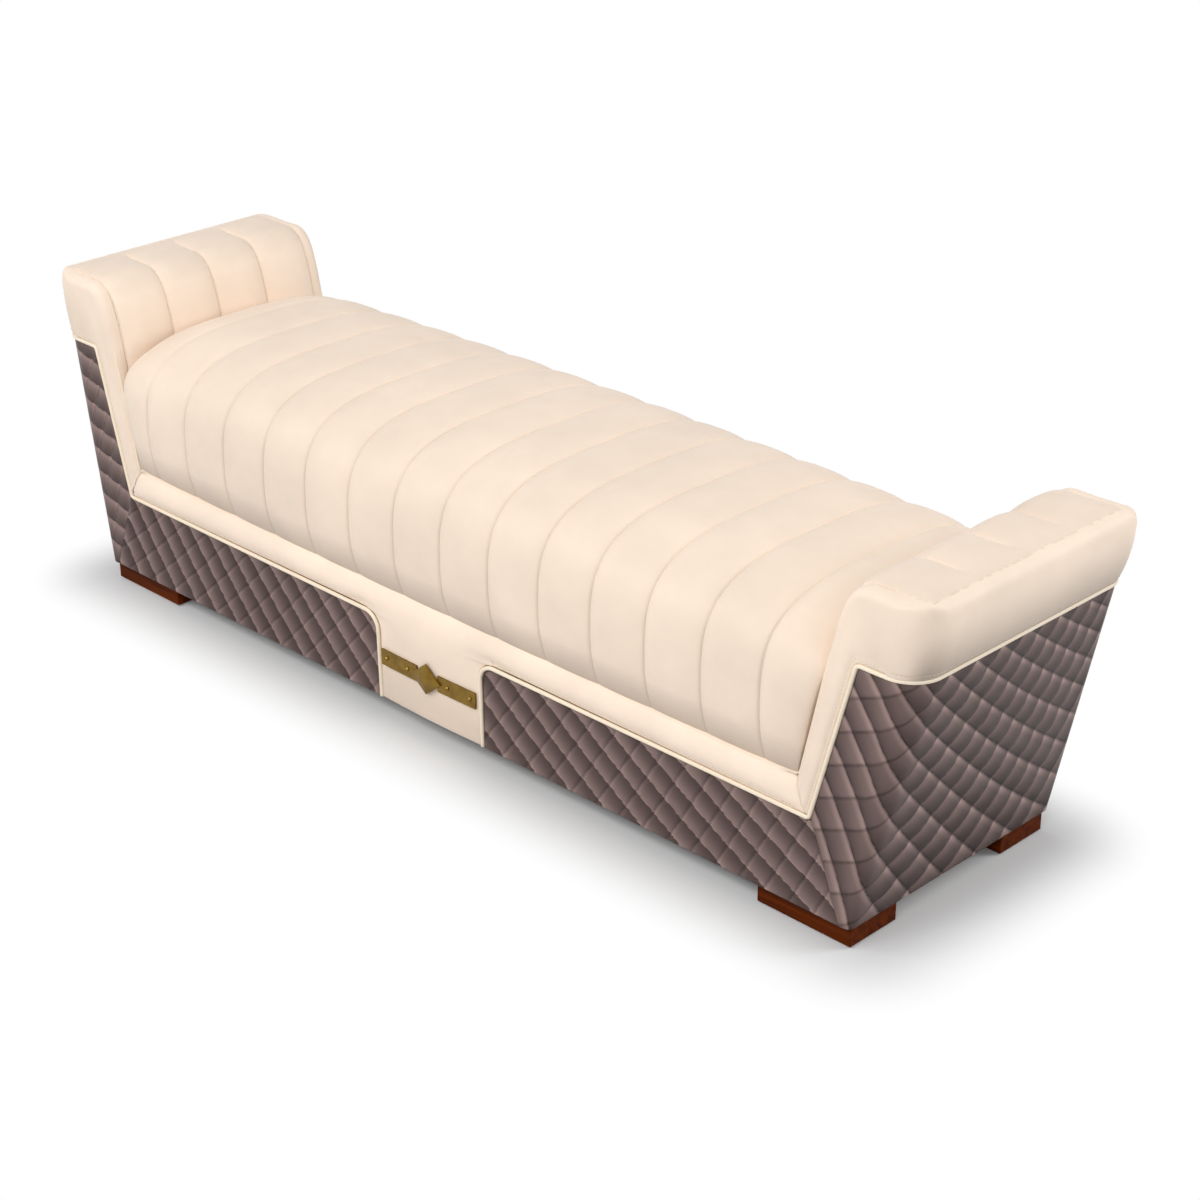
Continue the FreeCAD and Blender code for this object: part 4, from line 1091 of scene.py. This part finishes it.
def build_end_quilts(context):
    """Quilted panels that wrap the ends of the bench."""
    sizes = context.scene.bench_sizes
    fit = QUILT_SQUARE * MM / sizes.quilt_square
    top = 436.4
    seam = [(825.6, BASE), (770.0, 183.0), (trim(top) + 4.0, top)]
    front = [(x - outer(z), z) for x, z in seam]
    rear = [(END_RUN - run, z) for run, z in front]
    clips = edges_of([front[0], rear[0], rear[1], rear[2], front[2], front[1]])
    for label, side in SIDES.items():
        name = f"end_quilting_{label}"
        calm, pull = (0.0, (2.13, 0.8, 1.0)) if side > 0 else (0.95, (2.8, 0.4, 1.26))
        mesh = quilted(
            name,
            lambda at: fit * end_squares(at, pull),
            lambda at: end_stand(at, calm),
            clips,
            0.4 * sizes.quilt_depth / MM,
            lambda count, at: end_painted_light(count, at, side < 0),
        )
        if side < 0:
            for v in mesh.vertices:
                v.co.x = -v.co.x
            mesh.flip_normals()
        panel = fixed(name, mesh, brown_leather(context))
        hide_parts(f"end_quilt_{label}")


# Trimmings


def build_piping(context):
    """Leather-covered cord along the edges of the quilting."""
    radius = context.scene.bench_sizes.piping_radius / MM
    y = -QUILT
    foot, low = TRIM_FOOT
    corners = [
        (117.5, y, BASE + 0.5),
        (117.5, y - 3.0, low),
        (foot, y, low),
        (835.1, y, 440.0),
        (932.9, y, 440.0),
        (932.9, -y, 440.0),
        (835.1, -y, 440.0),
        (foot, -y, low),
        (0.3, -y, low),
    ]
    radii = [0.0, 28.8, 5.0, 7.0, FRONT_TURN - 1.0, REAR_TURN - 1.0, 7.0, 5.0, 0.0]
    path = filleted(corners, radii)
    for label, side in SIDES.items():
        points, faces = tube(path * [side, 1.0, 1.0], radius)
        cord = piece(f"piping_cord_{label}", points, faces, piping_leather(context), weld=0)
        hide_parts(f"piping_{label}")
        for place, face in (("front", -1.0), ("back", 1.0)):
            name = f"arm_welt_{place}_{label}"
            z = np.linspace(BORDER_TOP, 452.0, 55)
            sink = 9.0 * np.clip((z - 436.0) / 16.0, 0.0, 1.0) ** 2
            welt = np.column_stack([inner(z) + 2.7 + sink, np.full(55, face * 225.2), z])
            points, faces = tube(welt * [side, 1.0, 1.0], 0.5 * radius, 8)
            piece(name, points, faces, piping_leather(context), weld=0)


def stitches(paths, length, pitch, thick):
    """Points and faces of single stitches along lines given as places and outward directions."""
    angle = np.linspace(0.0, 2.0 * np.pi, 6, endpoint=False)
    ends = [(-0.5, 0.35), (-0.32, 0.9), (0.0, 1.0), (0.32, 0.9), (0.5, 0.35)]
    points, faces, count = [], [], 0
    for path, way in paths:
        at = along(path)
        for centre in np.arange(pitch, at[-1] - pitch, pitch):
            here = np.array([np.interp(centre, at, path[:, k]) for k in range(3)])
            ahead = np.array([np.interp(centre + 1.0, at, path[:, k]) for k in range(3)])
            up = np.array([np.interp(centre, at, way[:, k]) for k in range(3)])
            run = (ahead - here) / np.linalg.norm(ahead - here)
            across = np.cross(up, run)
            for x, r in ends:
                lift = thick * (0.35 - 2.4 * abs(x) ** 2)
                ring = here + run * x * length + up * lift
                points.append(
                    ring + thick * r * (np.cos(angle)[:, None] * across + np.sin(angle)[:, None] * up)
                )
            for k in range(len(ends) - 1):
                for n in range(6):
                    m = (n + 1) % 6
                    a, b = count + k * 6, count + k * 6 + 6
                    faces.append((a + n, a + m, b + m, b + n))
            count += 6 * len(ends)
    return np.vstack(points), faces


def build_stitching(context):
    """Rows of stitches beside the piping."""
    sizes = context.scene.bench_sizes
    sewn = facing_rows()[1]
    forward = np.array([0.0, -1.0, 0.0])
    band = sewn[: len(sewn) - 24]
    paths = [(band, np.tile(forward, (len(band), 1)))]
    z = CAP_EDGE + 7.5
    flank = cap_side(z)
    turn = np.linspace(0.0, 0.5 * np.pi, 20)
    out_x, out_y = np.append(np.sin(turn), np.ones(19)), np.append(-np.cos(turn), np.zeros(19))
    way = np.column_stack([out_x, out_y, np.zeros(39)])
    around = []
    for radius in (FRONT_TURN, REAR_TURN):
        corner = np.column_stack(
            [flank - radius + radius * np.sin(turn), -FACE + radius - radius * np.cos(turn), np.full(20, z)]
        )
        around.append(chain(corner, line((flank, -FACE + radius, z), (flank, 0.0, z), 20)))
    u = np.linspace(0.012, 0.992, 80)
    x = DROP_FLARE + (mitre(STITCH_ROW) - DROP_FLARE) * u
    hem = np.column_stack([x, np.full(80, border_face(STITCH_ROW) + 0.7), np.full(80, STITCH_ROW)])
    paths.append((hem, np.tile(forward, (80, 1))))
    both = []
    for sx in (1.0, -1.0):
        for sy, cap in ((1.0, around[0]), (-1.0, around[1])):
            flip = np.array([sx, sy, 1.0])
            both += [(path * flip, out * flip) for path, out in paths + [(cap, way)]]
    points, faces = stitches(both, sizes.stitch_length / MM, sizes.stitch_pitch / MM, 0.5)
    piece("seam_stitches", points, faces, thread(context), weld=0)


# Base


def build_feet(context):
    """Stained wooden feet and their felt pads."""
    colour = tuple(context.scene.bench_colours.foot)
    stain = shared("stained_wood", wood, tinted(colour, 0.55), tinted(colour, 1.35), 0.34)
    felt = shared("felt", fibre, (0.05, 0.045, 0.04), (0.09, 0.08, 0.07), 900.0, 0.5)
    for name in ("front_left", "front_right", "rear_left", "rear_right"):
        dress(f"foot_{name}", stain)
    dress("felt_pads", felt)


def dress(name, material):
    """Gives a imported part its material."""
    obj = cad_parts.get(name)
    if obj is None:
        raise RuntimeError(f"no part named {name}")
    obj.data.materials.clear()
    obj.data.materials.append(material)


def build_frame(context):
    """Timber, boards and fixings inside the upholstery."""
    timber = shared("frame_timber", wood, (0.42, 0.27, 0.14), (0.62, 0.45, 0.27), 0.62)
    board = shared("birch_board", wood, (0.5, 0.36, 0.22), (0.68, 0.53, 0.36), 0.58, stretch=(1.0, 9.0, 14.0))
    steel = shared("zinc_steel", metal, (0.34, 0.34, 0.35), (0.52, 0.52, 0.54), 0.3)
    for names, material in (
        ("front_rail back_rail end_rail_left end_rail_right cross_stretchers corner_blocks", timber),
        ("seat_edge_strips arm_posts_left arm_posts_right arm_top_rail_left arm_top_rail_right", timber),
        ("seat_deck arm_inner_board_left arm_inner_board_right end_board_left end_board_right", board),
        ("arm_face_boards_left arm_face_boards_right", board),
        ("hanger_bolts t_nuts staples", steel),
    ):
        for name in names.split():
            dress(name, material)


def build_dust_cover(context):
    """Woven backing stretched under the base."""
    skin = Shell()
    for x0, x1, y in ((-664.0, 664.0, 214.0), (664.0, 822.0, 114.0), (-822.0, -664.0, 114.0)):
        xs, ys = np.meshgrid(np.linspace(x0, x1, 60), np.linspace(-y, y, 30), indexing="ij")
        sag = 1.6 * np.cos(np.pi * xs / 1700.0) * np.cos(np.pi * ys / (2.0 * y))
        skin.grid(np.stack([xs, ys, 35.6 - sag], axis=-1))
    points, faces = skin.joined()
    weave = shared("backing_cloth", fibre, (0.015, 0.015, 0.016), (0.03, 0.03, 0.032), 1400.0, 0.5)
    cloth = piece("backing_cloth", points, faces, weave)
    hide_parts("dust_cover")


def build_ornament(context):
    """Brass straps, boss and rivets on the drop panel."""
    colour = tuple(context.scene.bench_colours.brass)
    brass = shared("brass", metal, tinted(colour, 0.72), tinted(colour, 1.15), 0.32)
    for name in ("ornament_strap_left", "ornament_strap_right", "ornament_boss", "ornament_rivets"):
        dress(name, brass)


# Stage


def looked_at(nodes, links):
    """Socket that is 1 for what the eye sees, straight, mirrored or through glass, and 0 for lighting."""
    path = nodes.new("ShaderNodeLightPath")
    seen = path.outputs["Is Camera Ray"]
    for kind in ("Is Glossy Ray", "Is Transmission Ray"):
        either = nodes.new("ShaderNodeMath")
        either.operation = "MAXIMUM"
        links.new(seen, either.inputs[0])
        links.new(path.outputs[kind], either.inputs[1])
        seen = either.outputs["Value"]
    return seen


def lay_floor(scene):
    """Pale floor that keeps the shadow close to the bench and is plain white further out."""
    mesh = bpy.data.meshes.new("studio_floor")
    mesh.from_pydata([(-14, -14, 0), (14, -14, 0), (14, 14, 0), (-14, 14, 0)], [], [(0, 1, 2, 3)])
    floor = bpy.data.objects.new("studio_floor", mesh)
    scene.collection.objects.link(floor)
    material, nodes, links = new_material("studio_floor")
    nodes.remove(nodes["Principled BSDF"])
    paint = add(nodes, "ShaderNodeBsdfDiffuse", Color=(0.72, 0.723, 0.726, 1.0))
    white = add(nodes, "ShaderNodeEmission", Color=(1.0, 1.0, 1.0, 1.0), Strength=1.0)
    blend = nodes.new("ShaderNodeMixShader")
    away = nodes.new("ShaderNodeTexCoord").outputs["Object"]
    for operation, by, result in (
        ("ABSOLUTE", None, "Vector"),
        ("SUBTRACT", (0.84, 0.2, 0.0), "Vector"),
        ("MAXIMUM", (0.0, 0.0, 0.0), "Vector"),
        ("LENGTH", None, "Value"),
    ):
        step = nodes.new("ShaderNodeVectorMath")
        step.operation = operation
        if by:
            step.inputs[1].default_value = by
        links.new(away, step.inputs[0])
        away = step.outputs[result]
    fade = add(nodes, "ShaderNodeMapRange", From_Min=0.02, From_Max=0.18, To_Min=0.06, To_Max=1.0)
    fade.interpolation_type = "SMOOTHSTEP"
    share = nodes.new("ShaderNodeMath")
    share.operation = "MULTIPLY"
    links.new(away, fade.inputs["Value"])
    links.new(fade.outputs["Result"], share.inputs[0])
    links.new(looked_at(nodes, links), share.inputs[1])
    links.new(share.outputs["Value"], blend.inputs["Fac"])
    links.new(paint.outputs["BSDF"], blend.inputs[1])
    links.new(white.outputs["Emission"], blend.inputs[2])
    links.new(blend.outputs["Shader"], nodes["Material Output"].inputs["Surface"])
    mesh.materials.append(material)


def light_backdrop(scene):
    """White backdrop that lights the bench less than it shows."""
    world = bpy.data.worlds.new("studio")
    scene.world = world
    world.use_nodes = True
    nodes, links = world.node_tree.nodes, world.node_tree.links
    sky = nodes["Background"]
    sky.inputs["Color"].default_value = (1.0, 1.0, 1.0, 1.0)
    level = add(nodes, "ShaderNodeMapRange", To_Min=0.32, To_Max=1.0)
    links.new(looked_at(nodes, links), level.inputs["Value"])
    links.new(level.outputs["Result"], sky.inputs["Strength"])


def hang_lamps(scene):
    """Softboxes round the bench, all turned to its middle."""
    aim = Vector((0.0, 0.0, 0.3))
    for name, place, power, size in (
        ("left_softbox", (-2.2, -3.0, 3.2), 56.0, 1.9),
        ("front_softbox", (0.2, -3.5, 3.4), 56.0, 1.9),
        ("right_softbox", (2.2, -3.1, 3.2), 51.0, 1.9),
        ("end_softbox", (3.0, 2.4, 2.0), 62.0, 1.6),
        ("top_softbox", (-0.6, 0.2, 4.0), 25.0, 2.4),
    ):
        lamp = bpy.data.lights.new(name, "AREA")
        lamp.energy = power
        lamp.shape = "SQUARE"
        lamp.size = size
        obj = bpy.data.objects.new(name, lamp)
        obj.location = place
        obj.rotation_euler = (aim - Vector(place)).to_track_quat("-Z", "Y").to_euler()
        scene.collection.objects.link(obj)


def set_camera(scene):
    """Camera in front of the bench's right end, looking down on it."""
    lens = bpy.data.cameras.new("camera")
    lens.lens = 76.5
    lens.sensor_width = 36.0
    camera = bpy.data.objects.new("camera", lens)
    camera.location = (2.648, -2.537, 1.958)
    around, high = math.radians(44.6356), math.radians(26.0451)
    level = math.cos(high)
    back = Vector((math.sin(around) * level, -math.cos(around) * level, math.sin(high)))
    camera.rotation_euler = back.to_track_quat("Z", "Y").to_euler()
    scene.collection.objects.link(camera)
    scene.camera = camera


def build_stage(context):
    """Floor, backdrop light, lamps and camera."""
    scene = context.scene
    scene.view_settings.view_transform = "Standard"
    lay_floor(scene)
    light_backdrop(scene)
    hang_lamps(scene)
    set_camera(scene)


# Add-on


class BenchSizes(bpy.types.PropertyGroup):
    """Sizes of the upholstery's padding and sewing."""

    seat_channel: FloatProperty(
        name="Seat channel", description="Width of a seat channel between seams", default=0.105, unit="LENGTH"
    )
    seat_crown: FloatProperty(
        name="Seat crown", description="Rise of a seat channel above its seams", default=0.0068, unit="LENGTH"
    )
    arm_channel: FloatProperty(
        name="Arm channel",
        description="Width of an arm channel between seams",
        default=2.0 * PAD_HALF / ARM_CHANNELS * MM,
        unit="LENGTH",
    )
    arm_crown: FloatProperty(
        name="Arm crown", description="Rise of an arm channel above its seams", default=0.0075, unit="LENGTH"
    )
    quilt_square: FloatProperty(
        name="Quilt square", description="Side of a quilted square", default=QUILT_SQUARE * MM, unit="LENGTH"
    )
    quilt_depth: FloatProperty(
        name="Quilt depth", description="Rise of a square above its seams", default=0.008, unit="LENGTH"
    )
    piping_radius: FloatProperty(
        name="Piping radius", description="Half the thickness of the piping", default=0.0033, unit="LENGTH"
    )
    stitch_length: FloatProperty(
        name="Stitch length", description="Length of one stitch", default=0.0045, unit="LENGTH"
    )
    stitch_pitch: FloatProperty(
        name="Stitch pitch", description="Distance from stitch to stitch", default=0.0062, unit="LENGTH"
    )


def colour(name, description, value):
    """A colour setting."""
    return FloatVectorProperty(
        name=name, description=description, default=value, subtype="COLOR", size=3, min=0.0, max=1.0
    )


class BenchColours(bpy.types.PropertyGroup):
    """Colours of the leather, wood and brass."""

    cream: colour("Cream leather", "Colour of the seat, arms and borders", (0.949, 0.784, 0.641))
    piping: colour("Piping", "Colour of the piping", (0.985, 0.785, 0.672))
    brown: colour("Brown leather", "Colour of the quilting", (0.217, 0.147, 0.132))
    thread: colour("Thread", "Colour of the stitches", (0.72, 0.59, 0.47))
    foot: colour("Feet", "Colour of the stained feet", (0.1, 0.0165, 0.0005))
    brass: colour("Brass", "Colour of the straps and boss", (0.24, 0.145, 0.028))


class BenchOperator:
    """Runs one maker and reports that it is done."""

    bl_options = {"REGISTER", "UNDO"}

    def execute(self, context):
        """Runs the maker, whose error stops the step."""
        type(self).make(context)
        return {"FINISHED"}


class BENCH_OT_seat(BenchOperator, bpy.types.Operator):
    """Make the channelled seat cushion"""

    bl_idname = "bench.seat"
    bl_label = "Seat cushion"
    make = staticmethod(build_seat)


class BENCH_OT_arm_pads(BenchOperator, bpy.types.Operator):
    """Make the channelled arm cushions"""

    bl_idname = "bench.arm_pads"
    bl_label = "Arm cushions"
    make = staticmethod(build_arm_pads)


class BENCH_OT_arm_facings(BenchOperator, bpy.types.Operator):
    """Make the smooth covers of the arms"""

    bl_idname = "bench.arm_facings"
    bl_label = "Arm covers"
    make = staticmethod(build_arm_facings)


class BENCH_OT_borders(BenchOperator, bpy.types.Operator):
    """Make the borders under the seat and the drop panel"""

    bl_idname = "bench.borders"
    bl_label = "Borders"
    make = staticmethod(build_borders)


class BENCH_OT_flat_quilts(BenchOperator, bpy.types.Operator):
    """Make the quilted front and back panels"""

    bl_idname = "bench.flat_quilts"
    bl_label = "Front and back quilting"
    make = staticmethod(build_flat_quilts)


class BENCH_OT_end_quilts(BenchOperator, bpy.types.Operator):
    """Make the quilted end panels"""

    bl_idname = "bench.end_quilts"
    bl_label = "End quilting"
    make = staticmethod(build_end_quilts)


class BENCH_OT_piping(BenchOperator, bpy.types.Operator):
    """Make the piping"""

    bl_idname = "bench.piping"
    bl_label = "Piping"
    make = staticmethod(build_piping)


class BENCH_OT_stitching(BenchOperator, bpy.types.Operator):
    """Make the rows of stitches"""

    bl_idname = "bench.stitching"
    bl_label = "Stitching"
    make = staticmethod(build_stitching)


class BENCH_OT_ornament(BenchOperator, bpy.types.Operator):
    """Finish the brass straps, boss and rivets"""

    bl_idname = "bench.ornament"
    bl_label = "Brass ornament"
    make = staticmethod(build_ornament)


class BENCH_OT_feet(BenchOperator, bpy.types.Operator):
    """Finish the wooden feet and felt pads"""

    bl_idname = "bench.feet"
    bl_label = "Feet"
    make = staticmethod(build_feet)


class BENCH_OT_dust_cover(BenchOperator, bpy.types.Operator):
    """Make the backing cloth under the base"""

    bl_idname = "bench.dust_cover"
    bl_label = "Backing cloth"
    make = staticmethod(build_dust_cover)


class BENCH_OT_frame(BenchOperator, bpy.types.Operator):
    """Finish the timber frame, boards and fixings"""

    bl_idname = "bench.frame"
    bl_label = "Frame"
    make = staticmethod(build_frame)


class BENCH_OT_stage(BenchOperator, bpy.types.Operator):
    """Set up the floor, lamps and camera"""

    bl_idname = "bench.stage"
    bl_label = "Studio"
    make = staticmethod(build_stage)


OPERATORS = (
    BENCH_OT_seat,
    BENCH_OT_arm_pads,
    BENCH_OT_arm_facings,
    BENCH_OT_borders,
    BENCH_OT_flat_quilts,
    BENCH_OT_end_quilts,
    BENCH_OT_piping,
    BENCH_OT_stitching,
    BENCH_OT_ornament,
    BENCH_OT_feet,
    BENCH_OT_dust_cover,
    BENCH_OT_frame,
    BENCH_OT_stage,
)


class BENCH_PT_sidebar(bpy.types.Panel):
    """Lists the steps that make the bench"""

    bl_idname = "BENCH_PT_sidebar"
    bl_label = "Bed bench"
    bl_space_type = "VIEW_3D"
    bl_region_type = "UI"
    bl_category = "Bench"

    def draw(self, context):
        """Shows the settings and a button for each step."""
        for settings in (context.scene.bench_sizes, context.scene.bench_colours):
            for key in settings.__annotations__:
                self.layout.prop(settings, key)
        for step in OPERATORS:
            self.layout.operator(step.bl_idname)


CLASSES = (BenchSizes, BenchColours, *OPERATORS, BENCH_PT_sidebar)


def register():
    """Adds the settings, steps and panel to Blender."""
    for each in CLASSES:
        bpy.utils.register_class(each)
    bpy.types.Scene.bench_sizes = PointerProperty(type=BenchSizes)
    bpy.types.Scene.bench_colours = PointerProperty(type=BenchColours)


def unregister():
    """Takes them out again."""
    del bpy.types.Scene.bench_colours
    del bpy.types.Scene.bench_sizes
    for each in reversed(CLASSES):
        bpy.utils.unregister_class(each)


def main():
    """Makes the bench step by step."""
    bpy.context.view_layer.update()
    register()
    for step in OPERATORS:
        group, name = step.bl_idname.split(".")
        getattr(getattr(bpy.ops, group), name)()


if __name__ == "__main__":
    main()
